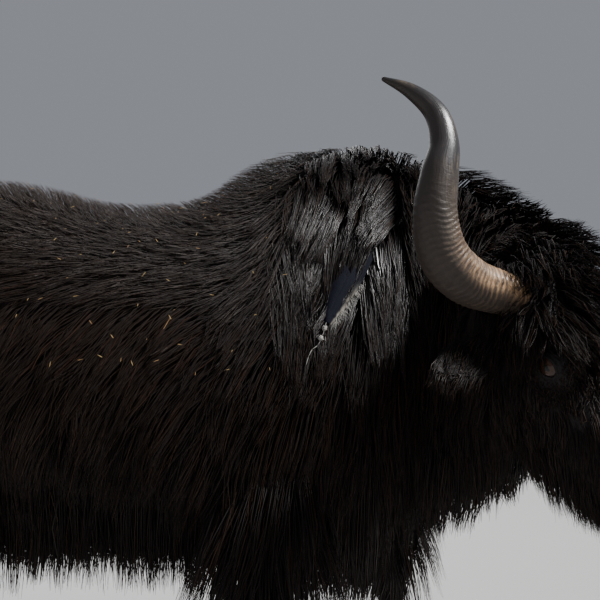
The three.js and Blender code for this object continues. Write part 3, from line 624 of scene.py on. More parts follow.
def horn_surface(tree):
    along, ridge = attribute(tree, "along"), attribute(tree, "ridge")
    round_it, across, under = (attribute(tree, name) for name in ("round", "across", "under"))
    line = node(tree, "ShaderNodeCombineXYZ", {}, {0: round_it, 1: across, 2: along * 1.6})
    fibre = noise_at(tree, line, 9.0, 5.0, 0.6)
    ring = node(tree, "ShaderNodeCombineXYZ", {}, {0: round_it, 1: across, 2: along * 52.0})
    ring = noise_at(tree, ring, 2.4, 5.0, 0.65)
    blotch = noise(tree, 34.0, 4.0)
    place = along + (blotch - 0.5) * 0.16 + (fibre - 0.5) * 0.1
    colour = node(tree, "ShaderNodeValToRGB", {"stops": (
        (0.00, (0.42, 0.245, 0.125)), (0.16, (0.46, 0.275, 0.140)), (0.32, (0.24, 0.152, 0.090)),
        (0.45, (0.090, 0.070, 0.054)), (0.58, (0.036, 0.034, 0.034)), (0.82, (0.026, 0.025, 0.026)),
        (1.00, (0.020, 0.018, 0.017)))}, {"Fac": place})
    groove = span(tree, ridge, 0.35, 0.0)
    base = span(tree, along, 0.62, 0.42)
    colour = blend(tree, groove * base * 0.72, colour, (0.045, 0.026, 0.015))
    pale = span(tree, fibre * blotch, 0.26, 0.46)
    colour = blend(tree, pale * 0.32, colour, (0.36, 0.27, 0.18))
    speck = span(tree, noise(tree, 260.0, 3.0), 0.60, 0.68)
    colour = blend(tree, speck * 0.55, colour, (0.02, 0.016, 0.013))
    crack = span(tree, ring, 0.53, 0.40)
    colour = blend(tree, crack * base * 0.8, colour, (0.035, 0.020, 0.012))
    # The under and rear side is darker, as the shaded side is in the photo.
    colour = blend(tree, under * 0.93, colour, (0.016, 0.010, 0.007))
    rough = span(tree, along, 0.3, 0.62, 0.44, 0.29) + (fibre - 0.5) * 0.25 + under * 0.30
    grain = relief(tree, fibre * 0.5 + blotch * 0.2 + ring * base * 1.6, 0.6, 0.0020)
    return {"Base Color": colour, "Roughness": rough, "Normal": grain}


sheath = finish("horn", horn_surface, Coat_Weight=0.12, Coat_Roughness=0.25)
for side, name in SIDES.items():
    made = horn(side)
    smooth(made)
    made.data.materials.append(sheath)
    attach(made, "root")
    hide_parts(f"horn_{name}")

# Hooves.
# Each foot stands on two claws of horn: a hard wall with level growth lines, a flat sole, and a flat inner
# side that faces its neighbour. Two small dew claws stand behind every fetlock.
CLAW = (
    (0.062, 0.0280, 0.0400, 0.0210, 2.2, 2.2), (0.040, 0.0440, 0.0420, 0.0225, 2.2, 2.4),
    (0.018, 0.0580, 0.0420, 0.0235, 2.1, 2.4), (0.003, 0.0655, 0.0438, 0.0240, 2.0, 2.4),
    (0.000, 0.0630, 0.0420, 0.0225, 2.0, 2.4),
)
CLAW_APART = 0.0255
CLAW_LINES = 9
LINE_DEPTH = 0.00045
DEW_CLAW = {"behind": 0.048, "below": 0.010, "aside": 0.021, "radii": (0.016, 0.012, 0.014)}


def claw(name, x, y):
    form = Form([(x, y, z, *sizes) for z, *sizes in CLAW], sideways=LEFT)
    rings, sides = 72, 48
    t, angle = rings_of(rings, sides)
    lined = (t < 0.76) * (t > 0.06)
    grow = LINE_DEPTH * np.sin(2 * np.pi * CLAW_LINES * t + 0.8 * np.sin(angle)) * lined - 0.0005
    points = form.point(t, angle, grow).reshape(-1, 3)
    points[:, 2] = np.maximum(points[:, 2], 0)
    made = piece(name, (points, tube_walls(rings, sides)))
    mark(made, {"along": t})
    return made


def hoof_surface(tree):
    along = attribute(tree, "along")
    bands = noise(tree, 30.0, 4.0, (1, 1, 14))
    wear = span(tree, along + bands * 0.3, 0.72, 1.15)
    colour = blend(tree, bands, (0.012, 0.010, 0.009), (0.060, 0.048, 0.038))
    colour = blend(tree, wear * 0.7, colour, (0.16, 0.125, 0.09))
    return {"Base Color": colour, "Roughness": 0.62 - bands * 0.2, "Normal": relief(tree, bands, 0.4, 0.002)}


wall = finish("hoof", hoof_surface)
for leg_name, (*_, (x, y)) in LEGS.items():
    for side, toe in SIDES.items():
        made = claw(f"hoof_{leg_name}_{toe}", x, y + side * CLAW_APART)
        smooth(made)
        made.data.materials.append(wall)
        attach(made, "root")
        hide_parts(f"claw_{leg_name}_{toe}")

dew_claws = []
for _, heights, forwards, _, (x, y) in LEGS.values():
    back, high = forwards[-2] - DEW_CLAW["behind"], heights[-2] - DEW_CLAW["below"]
    for side in SIDES:
        dew_claws.append(egg((back, y + side * DEW_CLAW["aside"], high), DEW_CLAW["radii"], BODY, 16, 20))
dew_claws = piece("dew_claws", *dew_claws)
dew_claws.data.attributes.new("along", "FLOAT", "POINT")
smooth(dew_claws)
dew_claws.data.materials.append(wall)
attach(dew_claws, "root")

# The coat.
# Tens of thousands of tufts, each a thin flat blade of hair that is rooted in the skin, lies along it and
# tapers to its tip. Neighbours are drawn together into clumps, as in a coat that is never combed.
chance = np.random.default_rng(4947)
hide.data.calc_loop_triangles()
corners = np.zeros(len(hide.data.loop_triangles) * 3, int)
hide.data.loop_triangles.foreach_get("vertices", corners)
triangle = corners_of(hide)[corners.reshape(-1, 3)]
cross = np.cross(triangle[:, 1] - triangle[:, 0], triangle[:, 2] - triangle[:, 0])
area = np.linalg.norm(cross, axis=1) / 2
facing = unit(cross)
centre = triangle.mean(1)
over_skin = BVHTree.FromPolygons(corners_of(hide).tolist(), corners.reshape(-1, 3).tolist())

PARTS = {"trunk": (trunk, TRUNK_DEPTH), "tail": (tail, TAIL_DEPTH), "head": (skull, HEAD_DEPTH)}
PARTS |= {name: (leg, LIMB_DEPTH) for name, leg in legs.items()}
PARTS |= {f"ear_{side}": (leaf, EAR_DEPTH) for side, leaf in ears.items()}
part_names = list(PARTS)
nearness = np.array([np.abs(form.locate(centre)[2] - depth) for form, depth in PARTS.values()])
part = nearness.argmin(0)


class Roots:
    """Places on the skin where tufts are rooted, each with its way out and its place on its own part."""

    def __init__(self, names, density):
        """Density is tufts a square metre: a number, or a function of the middles of the skin's triangles."""
        wanted = np.isin(part, [part_names.index(name) for name in names])
        self.read(names, np.flatnonzero(wanted), centre[wanted])
        many = area[self.index] * (density(self) if callable(density) else density)
        picked = np.repeat(self.index, np.floor(many + chance.random(len(many))).astype(int))
        a, b = chance.random((2, len(picked), 1))
        past = a + b > 1
        a, b = np.where(past, 1 - a, a), np.where(past, 1 - b, b)
        first, second, third = triangle[picked].transpose(1, 0, 2)
        self.read(names, picked, first + a * (second - first) + b * (third - first))

    def read(self, names, index, place):
        self.names, self.index, self.place = names, index, place
        self.out = facing[index]
        self.body = place - shift
        self.head = (place - HEAD[1]) @ HEAD[0]
        self.t, self.angle = np.zeros(len(index)), np.zeros(len(index))
        self.number = part[index]
        for name in names:
            mine = self.number == part_names.index(name)
            self.t[mine], self.angle[mine], _ = PARTS[name][0].locate(place[mine])
        self.high = np.sin(self.angle)

    def keep(self, wanted):
        """These roots without some of them."""
        for name in ("index", "place", "out", "body", "head", "t", "angle", "number", "high"):
            setattr(self, name, getattr(self, name)[wanted])
        return self

    def chart(self):
        """The same places on an unrolling of each part: round it one way, along it the other."""
        number = np.unique(self.number, return_inverse=True)[1]
        width = 1 / (number.max() + 1)
        round_it = (self.angle / (2 * np.pi) + 0.25) % 1
        spread = (self.t - self.t.min()) / max(np.ptp(self.t), 1e-6)
        return np.stack([(number + 0.02 + 0.96 * round_it) * width, 0.02 + 0.96 * spread], 1)


def tuft_tree():
    """Lines with a width at each point become flat blades, each with its own patch of the OFBake map."""
    tree = bpy.data.node_groups.new("tufts", "GeometryNodeTree")
    sizes = {"Flatness": "NodeSocketFloat", "Patch": "NodeSocketFloat", "Finish": "NodeSocketMaterial"}
    tree.interface.new_socket("Geometry", in_out="INPUT", socket_type="NodeSocketGeometry")
    for name, kind in sizes.items():
        tree.interface.new_socket(name, in_out="INPUT", socket_type=kind)
    tree.interface.new_socket("Geometry", in_out="OUTPUT", socket_type="NodeSocketGeometry")
    given = tree.nodes.new("NodeGroupInput")
    lines, flatness, patch, coat_finish = (Flow(tree, given.outputs[number]) for number in range(4))

    def stored(name, kind="FLOAT"):
        return node(tree, "GeometryNodeInputNamedAttribute", {"data_type": kind}, {"Name": name})

    def store(shape, name, value, domain="POINT", kind="FLOAT"):
        inputs = {"Geometry": shape, "Name": name, "Value": value}
        return node(tree, "GeometryNodeStoreNamedAttribute", {"data_type": kind, "domain": domain}, inputs)

    curve = node(tree, "GeometryNodeMeshToCurve", {}, {"Mesh": lines})
    curve = node(tree, "GeometryNodeSetCurveNormal", {"mode": "FREE"},
                 {"Curve": curve, "Normal": stored("facing", "FLOAT_VECTOR")})
    section = node(tree, "GeometryNodeCurvePrimitiveCircle", {"mode": "RADIUS"},
                   {"Resolution": 3, "Radius": 0.5})
    flat = node(tree, "ShaderNodeCombineXYZ", {}, {"X": flatness, "Y": 1.0, "Z": 1.0})
    section = node(tree, "GeometryNodeTransform", {}, {"Geometry": section, "Scale": flat})
    section = store(section, "across", node(tree, "GeometryNodeInputIndex") * 0.5)
    blade = node(tree, "GeometryNodeCurveToMesh", {}, {"Curve": curve, "Profile Curve": section,
                                                       "Scale": stored("wide"), "Fill Caps": True})
    u = stored("chart_u") + (stored("across") - 0.5) * patch
    v = stored("chart_v") + (stored("along") - 0.5) * patch
    place = node(tree, "ShaderNodeCombineXYZ", {}, {"X": u, "Y": v})
    blade = store(blade, "OFBake", place, "CORNER", "FLOAT2")
    blade = node(tree, "GeometryNodeSetShadeSmooth", {}, {"Geometry": blade})
    blade = node(tree, "GeometryNodeSetMaterial", {}, {"Geometry": blade, "Material": coat_finish})
    blade = node(tree, "GeometryNodeRealizeInstances", {}, {"Geometry": blade})
    tree.links.new(blade.socket, tree.nodes.new("NodeGroupOutput").inputs[0])
    return tree


tufts = tuft_tree()
BLADE = ((0.0, 0.3, 0.65, 1.0), (0.75, 1.0, 0.7, 0.1))
BLADE_PATCH = 0.003
ROOT_DEPTH = 0.004


def outside(points, clear):
    """Points lifted to stand clear of the skin, where they don't already."""
    for number, point in enumerate(points):
        spot, normal, _, _ = over_skin.find_nearest(point)
        height = (Vector(point) - spot).dot(normal)
        if height < clear[number]:
            points[number] = spot + normal * clear[number]
    return points


def comb(roots, lie, length, *, lift=0.25, fall=0.3, stand=0.012, steps=4):
    """The line of each tuft: out of the skin, along its lie, bending to the ground and kept off the skin."""
    count = len(roots.place)
    given = (length, lift, fall, stand)
    length, lift, fall, stand = (np.broadcast_to(value, count).astype(float) for value in given)
    lie = lie + 0.16 * chance.standard_normal((count, 3))
    flat = unit(lie - (lie * roots.out).sum(1, keepdims=True) * roots.out)
    start = unit(flat * (1 - lift[:, None]) + roots.out * lift[:, None])
    lines = [roots.place - roots.out * ROOT_DEPTH]
    for step in range(1, steps):
        share = step / (steps - 1)
        bend = np.clip(fall * share * 1.3, 0, 1)[:, None]
        way = unit(start * (1 - bend) - UP * bend)
        ahead = lines[-1] + way * (length / (steps - 1))[:, None]
        lines.append(outside(ahead, stand * share**0.7))
    return np.array(lines).transpose(1, 0, 2)


def gather(lines, per_clump, strength, wave=0.0):
    """Tufts drawn towards the nearest leading tuft, more so to their tips."""
    count, steps, _ = lines.shape
    share = np.linspace(0, 1, steps)[None, :, None]
    if per_clump > 1:
        leaders = chance.choice(count, max(1, count // per_clump), replace=False)
        tree = KDTree(len(leaders))
        for number, leader in enumerate(leaders):
            tree.insert(lines[leader, 0], number)
        tree.balance()
        nearest = leaders[[tree.find(root)[1] for root in lines[:, 0]]]
        offset = lines[:, :1] - lines[nearest, :1]
        pull = np.broadcast_to(strength, count)[:, None, None] * share**1.2
        lines = lines * (1 - pull) + (lines[nearest] + 0.12 * offset) * pull
    sway = unit(chance.standard_normal((count, 1, 3)))
    return lines + sway * wave * share * np.sin(share * 7 + 6 * chance.random((count, 1, 1)))


def coat(name, roots, lines, width, finish_of, flatness=0.4):
    """One piece of the coat: the lines become blades."""
    count, steps, _ = lines.shape
    share = np.linspace(0, 1, steps)
    along = unit(np.gradient(lines, axis=1))
    out = np.repeat(roots.out[:, None], steps, axis=1)
    out = unit(out - (out * along).sum(2, keepdims=True) * along)
    chart = roots.chart()
    mesh = bpy.data.meshes.new(name)
    first = np.arange(count * steps).reshape(count, steps)
    edges = np.stack([first[:, :-1].ravel(), first[:, 1:].ravel()], 1)
    every = (count, steps)
    mesh.vertices.add(count * steps)
    mesh.vertices.foreach_set("co", lines.ravel())
    mesh.edges.add(len(edges))
    mesh.edges.foreach_set("vertices", edges.ravel())
    values = {
        "wide": np.broadcast_to(width, count)[:, None] * np.interp(share, *BLADE)[None],
        "along": np.broadcast_to(share, every),
        "shade": np.broadcast_to(chance.random((count, 1)), every),
        "chart_u": np.broadcast_to(chart[:, :1], every),
        "chart_v": np.broadcast_to(chart[:, 1:], every),
    }
    made = bpy.data.objects.new(name, mesh)
    mark(made, values)
    mesh.attributes.new("facing", "FLOAT_VECTOR", "POINT").data.foreach_set("vector", out.ravel())
    bpy.context.scene.collection.objects.link(made)
    modifier = made.modifiers.new("tufts", "NODES")
    modifier.node_group = tufts
    given = {"Flatness": flatness, "Patch": BLADE_PATCH, "Finish": finish_of}
    for item in tufts.interface.items_tree:
        if item.in_out == "INPUT" and item.name in given:
            modifier[item.identifier] = given[item.name]
    settled(made)
    for key in ("wide", "facing", "chart_u", "chart_v", "across"):
        if key in made.data.attributes:
            made.data.attributes.remove(made.data.attributes[key])
    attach(made, "root")
    return made


def coat_surface(tree):
    shade, along = attribute(tree, "shade"), attribute(tree, "along")
    colour = blend(tree, shade * 0.35 + along * along * 0.25, markings(tree), BROWN)
    colour = blend(tree, shade**8 * along, colour, RUST)
    return {"Base Color": colour, "Roughness": 0.60 - shade * 0.25}


def mane_surface(tree):
    """The mane's long hair is the same colour, and smoother."""
    return coat_surface(tree) | {"Roughness": 0.44 - attribute(tree, "shade") * 0.14}


black_coat = finish("coat", coat_surface, Specular_IOR_Level=0.2)
mane_hair = finish("mane_hair", mane_surface, Specular_IOR_Level=0.50)


# The trunk's coat by height on its section, from the belly, -1, to the back, 1, at four places from the rump
# to the neck. Length is in metres, lean is how far the hair lies backwards rather than down, lift is its
# slope at the root, and stand is how far its tip keeps off the skin.
HIGH = (-1.0, -0.6, -0.45, -0.2, 0.1, 0.4, 0.7, 0.9, 1.0)
PLACES = {"body": 0.02, "shoulder": 0.17, "mane": 0.37, "neck": 0.58}
TRUNK_COAT = {
    "length": {
        "body": (0.22, 0.31, 0.21, 0.24, 0.19, 0.11, 0.060, 0.045, 0.040),
        "shoulder": (0.24, 0.30, 0.26, 0.24, 0.17, 0.11, 0.075, 0.050, 0.038),
        "mane": (0.22, 0.24, 0.24, 0.22, 0.18, 0.19, 0.23, 0.22, 0.11),
        "neck": (0.20, 0.21, 0.20, 0.19, 0.17, 0.16, 0.15, 0.13, 0.10),
    },
    "lean": {
        "body": (0.0, 0.05, 0.1, 0.25, 0.5, 0.8, 0.95, 1.0, 1.0),
        "shoulder": (0.0, 0.1, 0.2, 0.5, 0.8, 0.95, 1.0, 1.0, 1.0),
        "mane": (0.0, 0.1, 0.15, 0.25, 0.3, 0.25, 0.25, 0.25, 0.5),
        "neck": (0.0, 0.0, 0.05, 0.1, 0.1, 0.15, 0.1, 0.1, 0.4),
    },
    "lift": {
        "body": (0.25, 0.25, 0.25, 0.22, 0.22, 0.25, 0.32, 0.42, 0.50),
        "shoulder": (0.25, 0.25, 0.22, 0.22, 0.22, 0.25, 0.28, 0.38, 0.50),
        "mane": (0.25, 0.25, 0.22, 0.22, 0.25, 0.28, 0.32, 0.40, 0.48),
        "neck": (0.25, 0.25, 0.22, 0.22, 0.25, 0.30, 0.36, 0.42, 0.50),
    },
    "stand": {
        "body": (0.012, 0.014, 0.056, 0.046, 0.028, 0.022, 0.020, 0.027, 0.031),
        "shoulder": (0.012, 0.016, 0.048, 0.040, 0.028, 0.024, 0.022, 0.026, 0.029),
        "mane": (0.018, 0.024, 0.028, 0.028, 0.028, 0.030, 0.034, 0.043, 0.051),
        "neck": (0.020, 0.024, 0.026, 0.026, 0.028, 0.030, 0.038, 0.050, 0.058),
    },
}
THROAT = ((0.54, 0.62, 0.70, 0.78), (1.0, 0.8, 0.5, 0.34))
# The upper flank's hair ends along the tier, x by z, over the darker skirt, which ends along the hem. At the
# rear the skirt's hair has a limit to its length, x by length.
TIER = ((-0.70, -0.24, 0.08, 0.22, 0.30), (0.72, 0.67, 0.53, 0.45, 0.30))
HEM = ((-0.70, -0.50, -0.20, 0.10, 0.30, 0.45), (0.38, 0.38, 0.39, 0.39, 0.37, 0.37))
REAR_LIMIT = ((-0.69, -0.56), (0.20, 0.46))


def trunk_rule(roots, uneven=(0.7, 1.15)):
    """Length, lie, lift and stand of the hair on the trunk and neck."""
    x, _, z = roots.body.T
    place = np.interp(x, list(PLACES.values()), range(len(PLACES)))
    before = np.minimum(place.astype(int), len(PLACES) - 2)
    every = np.arange(len(x))
    rule = {}
    for key, table in TRUNK_COAT.items():
        by_place = np.array([np.interp(roots.high, HIGH, table[name]) for name in PLACES])
        rule[key] = mixed(place - before, by_place[before, every], by_place[before + 1, every])
    low = 1 - ramp(roots.high, 0.0, 0.5)
    rule["length"] *= mixed(low, np.ones(len(low)), np.interp(x, *THROAT))
    above = z - np.interp(x, *TIER)
    on_flank = (above > 0.03) & (roots.high > -0.62) & (x < 0.30)
    rule["length"] = np.where(on_flank, np.minimum(rule["length"], above + 0.05), rule["length"])
    on_skirt = (roots.high < -0.6) & (x < 0.45)
    to_hem = np.clip((z - np.interp(x, *HEM)) * 1.15, 0.06, np.interp(x, *REAR_LIMIT))
    rule["length"] = np.where(on_skirt, to_hem, rule["length"])
    rule["length"] *= chance.uniform(*uneven, len(low))
    drape = ramp(x, 0.24, 0.37) * ramp(roots.high, 0.55, 0.9)
    lean = rule.pop("lean")
    rule["lie"] = np.stack([-lean, np.sign(roots.body[:, 1]) * drape, 0.75 * lean - 1.0], 1)
    return rule


def head_point(r):
    """Distance from the nearer eye."""
    return np.linalg.norm(r.head * (1, 0, 1) + np.abs(r.head) * (0, 1, 0) - EYE_AT, axis=1)


def fur(name, parts, density, rule, width, *, zone=None, fall=0.3, steps=4, clumps=((10, 0.55), (60, 0.3)),
        wave=0.003, look=black_coat):
    """One region of the coat: sown, combed by its rule, drawn into clumps and locks, and made solid."""
    roots = Roots(parts, density)
    if zone:
        roots.keep(zone(roots))
    shape = rule(roots)
    fall = fall(roots) if callable(fall) else fall
    lines = comb(roots, shape.pop("lie"), shape.pop("length"), fall=fall, steps=steps, **shape)
    for per_clump, strength in clumps:
        lines = gather(lines, per_clump, strength, wave)
    wide = width(roots) if callable(width) else width
    return coat(name, roots, lines, wide * chance.uniform(0.65, 1.25, len(lines)), look)


MANE_START = 0.31
NECK_START = 0.50


def in_mane(r):
    """Beyond the mane's start, which is ragged."""
    return r.body[:, 0] + 0.035 * chance.standard_normal(len(r.place)) >= MANE_START


def in_neck(r):
    return r.body[:, 0] >= NECK_START


for side, name in SIDES.items():
    fur(f"coat_back_{name}", ["trunk"], 21500, trunk_rule, 0.0024, steps=3, clumps=((6, 0.45), (40, 0.2)),
        wave=0.002, fall=lambda r: 0.12 + 0.33 * ramp(r.body[:, 0], 0.18, 0.36),
        zone=lambda r: (r.high > 0.42) & ~in_mane(r) & (r.body[:, 1] * side > 0))
    fur(f"coat_flank_{name}", ["trunk"], 17300, trunk_rule, 0.0033, clumps=((9, 0.6), (60, 0.4)), wave=0.006,
        zone=lambda r: (np.abs(r.high + 0.09) <= 0.51) & ~in_neck(r) & (r.body[:, 1] * side > 0))
    fur(f"coat_neck_{name}", ["trunk"], 15000, trunk_rule, 0.0036, fall=0.5, wave=0.006,
        clumps=((12, 0.6), (80, 0.35)), zone=lambda r: in_neck(r) & (r.body[:, 1] * side > 0))
fur("coat_skirt", ["trunk"], 17000, lambda r: trunk_rule(r, (0.90, 1.08)), 0.0042, fall=0.8, wave=0.006,
    clumps=((10, 0.5), (60, 0.25)), zone=lambda r: (r.high < -0.6) & ~in_neck(r))
fur("coat_mane", ["trunk"], 31500, trunk_rule, 0.0027, fall=0.5, steps=5, clumps=((20, 0.78), (110, 0.6)),
    wave=0.006, look=mane_hair, zone=lambda r: (r.high > 0.42) & in_mane(r) & ~in_neck(r))

# Hair of the legs hangs behind the forearm and thigh, is short and close down the shins, and fringes the
# hooves. Its length goes by height.
LEG_HAIR = ((0.06, 0.10, 0.14, 0.2, 0.26, 0.33, 0.42, 0.5),
            (0.030, 0.036, 0.026, 0.018, 0.03, 0.08, 0.20, 0.25))
KNEE = 0.30


def leg_rule(r):
    z = r.body[:, 2]
    length = np.interp(z, *LEG_HAIR) * chance.uniform(0.6, 1.15, len(z))
    lie = np.tile([-0.25, 0.0, -1.0], (len(z), 1))
    high_up = ramp(z, 0.26, 0.46)
    return {"length": length, "lie": lie, "lift": 0.2 + 0.22 * high_up, "stand": 0.004 + 0.036 * high_up}


fur("coat_legs", list(legs), 11000, leg_rule, 0.0040, fall=0.4, wave=0.005,
    zone=lambda r: r.body[:, 2] > KNEE)
fur("coat_shins", list(legs), 22000, leg_rule, 0.0032, steps=3, clumps=((6, 0.4),), wave=0.001,
    zone=lambda r: r.body[:, 2] <= KNEE)

# The tail is a bush of long coarse hair on a thin dock. Its length goes by the share along the dock.
TAIL_HAIR = ((0, 0.2, 0.4, 0.8, 1), (0.07, 0.11, 0.24, 0.27, 0.24))


def tail_rule(r):
    length = np.interp(r.t, *TAIL_HAIR) * chance.uniform(0.7, 1.15, len(r.t))
    return {"length": length, "lie": np.tile([-0.1, 0, -1.0], (len(r.t), 1)), "lift": 0.25, "stand": 0.02}


fur("coat_tail", ["tail"], 26000, tail_rule, 0.0046, fall=0.7, steps=5, clumps=((14, 0.6), (80, 0.4)),
    wave=0.012)

# Hair of the head: a shaggy forelock and poll, brows, cheeks and beard. On the nose it is short and close,
# and the nose pad and the rims of the eyelids are bare.
FACE_X = (0.0, 0.08, 0.16, 0.24, 0.34, 0.48)
FACE_LENGTH = {
    "brow": (0.14, 0.13, 0.10, 0.055, 0.022, 0.009),
    "cheek": (0.10, 0.09, 0.070, 0.050, 0.022, 0.009),
    "jaw": (0.12, 0.13, 0.13, 0.12, 0.08, 0.018),
}


def furred(r):
    x, _, z = r.head.T
    pad = (x > 0.445) & (z > -0.125)
    return (head_point(r) > EYE_RADIUS + 0.012) & ~pad & (x > -0.05)


def head_rule(r):
    brow, cheek, jaw = (np.interp(r.head[:, 0], FACE_X, lengths) for lengths in FACE_LENGTH.values())
    length = mixed(ramp(-r.high, 0.3, 0.75), mixed(ramp(r.high, 0.2, 0.7), cheek, brow), jaw)
    eye = head_point(r)
    length = length * (0.22 + 0.78 * ramp(eye, 0.034, 0.080)) * chance.uniform(0.7, 1.15, len(eye))
    toward_nose = (0.25 + 0.75 * ramp(r.high, 0.0, 0.6))[:, None]
    lie = HEAD[0][:, 0] * toward_nose - UP * (1.1 - toward_nose * 0.5)
    poll = ramp(-r.head[:, 0], -0.07, 0.0) * ramp(r.high, 0.3, 0.8)
    beside = np.sign(r.head[:, 1:2])
    from_horn = np.linalg.norm(r.head * np.hstack([beside**2, beside, beside**2]) - HORN[0][:3], axis=1)
    collar = 1 - ramp(from_horn, 0.036, 0.062)
    lie = mixed(collar, lie, HEAD[0][:, 1] * beside - UP * 0.25)
    length = mixed(collar, length, 0.055)
    crown = ramp(r.high, 0.3, 0.8) * (1 - ramp(r.head[:, 0], 0.10, 0.22))
    lift = mixed(collar, 0.2 + 0.2 * crown + 0.25 * poll, 0.55)
    return {"length": length, "lie": lie, "lift": lift, "stand": 0.004 + 0.026 * np.maximum(crown, poll)}


# Down the face the tufts grow closer and finer.
DOWN_FACE = (0.24, 0.34, 0.48)
FACE_DENSITY = (45000, 72000, 84000)
FACE_WIDTH = (0.0026, 0.0020, 0.0016)
fur("coat_head", ["head"], lambda r: 96000 - 62500 * ramp(head_point(r), 0.034, 0.080), head_rule, 0.0028,
    fall=0.35, clumps=((10, 0.6), (50, 0.35)), wave=0.005,
    zone=lambda r: furred(r) & (r.head[:, 0] < DOWN_FACE[0]))
fur("coat_face", ["head"], lambda r: np.interp(r.head[:, 0], DOWN_FACE, FACE_DENSITY), head_rule,
    lambda r: np.interp(r.head[:, 0], DOWN_FACE, FACE_WIDTH), steps=3, clumps=((6, 0.4),), wave=0.001,
    zone=lambda r: furred(r) & (r.head[:, 0] >= DOWN_FACE[0]))

# The lids are furred close up to their rims. Length goes by the distance from the middle of the eye.
LID_HAIR = ((0.024, 0.034, 0.060), (0.006, 0.012, 0.022))


def lid_rule(r):
    eye = head_point(r)
    length = np.interp(eye, *LID_HAIR) * chance.uniform(0.7, 1.2, len(eye))
    lie = np.tile(HEAD[0][:, 0] * 0.3 - UP, (len(eye), 1))
    return {"length": length, "lie": lie, "lift": 0.12, "stand": 0.0015}


fur("coat_lids", ["head"], 150000, lid_rule, 0.0015, steps=3, clumps=((5, 0.4),), wave=0.0005,
    zone=lambda r: (head_point(r) > EYE_RADIUS + 0.0045) & (head_point(r) < 0.056))

# The ears' hair hangs outwards and down. Its length goes by the share along the ear.
EAR_HAIR = ((0, 0.3, 0.8, 1), (0.060, 0.058, 0.050, 0.038))


def ear_rule(r):
    length = np.interp(r.t, *EAR_HAIR) * chance.uniform(0.5, 1.25, len(r.t))
    outward = HEAD[0][:, 1] * np.sign(r.head[:, 1:2])
    return {"length": length, "lie": outward * 0.75 - UP * 0.6, "lift": 0.25, "stand": 0.006}


fur("coat_ears", [f"ear_{side}" for side in ears], 75000, ear_rule, 0.0024, fall=0.45, steps=5,
    clumps=((12, 0.6),), wave=0.005)

# The ribbon.
# A strip of thin dark blue cloth is tied into the mane over the right shoulder. Its forward edge has frayed
# to pale threads, and it ends in two small knots and a loose cord.
RIBBON = (
    (0.464, -0.144, 1.078, 0.018), (0.447, -0.166, 1.056, 0.020), (0.418, -0.203, 1.021, 0.0235),
    (0.390, -0.232, 0.969, 0.0245), (0.360, -0.256, 0.912, 0.017), (0.349, -0.270, 0.885, 0.0075),
)
RIBBON_FLAT = (0.049, 0.254)
RIBBON_OUT = (0.08, -1.0, 0.40)


def ribbon():
    rows = np.array(RIBBON)
    steps, across = 90, 22
    t = np.linspace(0, 1, steps)
    middle = spline(rows[:, :3], t)
    half = spline(rows[:, 3:], t)[:, 0]
    along = unit(np.gradient(middle, axis=0))
    out = unit(np.array(RIBBON_OUT))
    wide = unit(np.cross(along, out))
    face = np.cross(wide, along)
    share = np.linspace(-1, 1, across)
    curl = 0.006 * (share[None] ** 2 - 0.4) + 0.0022 * np.sin(5 * t[:, None] + 2.2 * share[None])
    crease = 0.0012 * np.exp(-((share[None] - 0.25 + 0.5 * t[:, None]) / 0.12) ** 2)
    ragged = 1 + (0.05 * np.sin(61 * t) + 0.04 * np.sin(97 * t + 1)) * ramp(t, 0.45, 0.8)
    points = (middle[:, None] + wide[:, None] * (half * ragged)[:, None, None] * share[None, :, None]
              - face[:, None] * (curl - crease)[..., None] + shift)
    step, column = np.meshgrid(np.arange(steps - 1), np.arange(across - 1), indexing="ij")
    a = (step * across + column).ravel()
    faces = np.stack([a, a + 1, a + across + 1, a + across], 1).tolist()
    made = piece("ribbon", (points.reshape(-1, 3), faces))
    uv = made.data.uv_layers.new(name="weave")
    corner = np.zeros(len(made.data.loops), int)
    made.data.loops.foreach_get("vertex_index", corner)
    place = np.stack([(corner % across) / (across - 1), (corner // across) / (steps - 1)], 1) * RIBBON_FLAT
    uv.data.foreach_set("uv", place.ravel())
    mark(made, {"frayed": ramp(-share[None], 0.60, 0.95) * ramp(t, 0.55, 0.75)[:, None]})
    thick = made.modifiers.new("thick", "SOLIDIFY")
    thick.thickness = 0.0007
    thick.offset = 0
    settled(made)
    smooth(made)
    return made, points


WEAVE = (("X", 620.0), ("Y", 560.0))


def cloth_surface(tree):
    uv = node(tree, "ShaderNodeUVMap", {"uv_map": "weave"})
    warp, weft = (node(tree, "ShaderNodeTexWave", {"wave_type": "BANDS", "bands_direction": direction},
                       {"Vector": uv, "Scale": scale, "Distortion": 1.2}) for direction, scale in WEAVE)
    stain = noise(tree, 36.0, 4.0)
    fade = attribute(tree, "frayed")
    colour = blend(tree, warp * weft * 0.5 + stain * 0.5, (0.0012, 0.0015, 0.0042), (0.0060, 0.0068, 0.0180))
    colour = blend(tree, fade * 0.8, colour, (0.42, 0.39, 0.33))
    woven = relief(tree, warp + weft, 0.35, 0.0006)
    return {"Base Color": colour, "Roughness": stain * 0.2 + 0.62, "Normal": woven}


cloth = finish("cloth", cloth_surface, Specular_IOR_Level=0.12)
strip, strip_points = ribbon()
strip.data.materials.clear()
strip.data.materials.append(cloth)

# Hair is flattened under the lower strip and the cord, and hangs over the strip's upper part.
CORD = ((0.348, -0.275, 0.887), (0.340, -0.284, 0.859), (0.331, -0.288, 0.844), (0.322, -0.290, 0.837),
        (0.315, -0.292, 0.823), (0.310, -0.294, 0.806))
TUCKED = 30
cord_line = spline(np.array(CORD) + shift, np.linspace(0, 1, 16))
laid = np.vstack([strip_points[TUCKED:, ::3].reshape(-1, 3), cord_line])


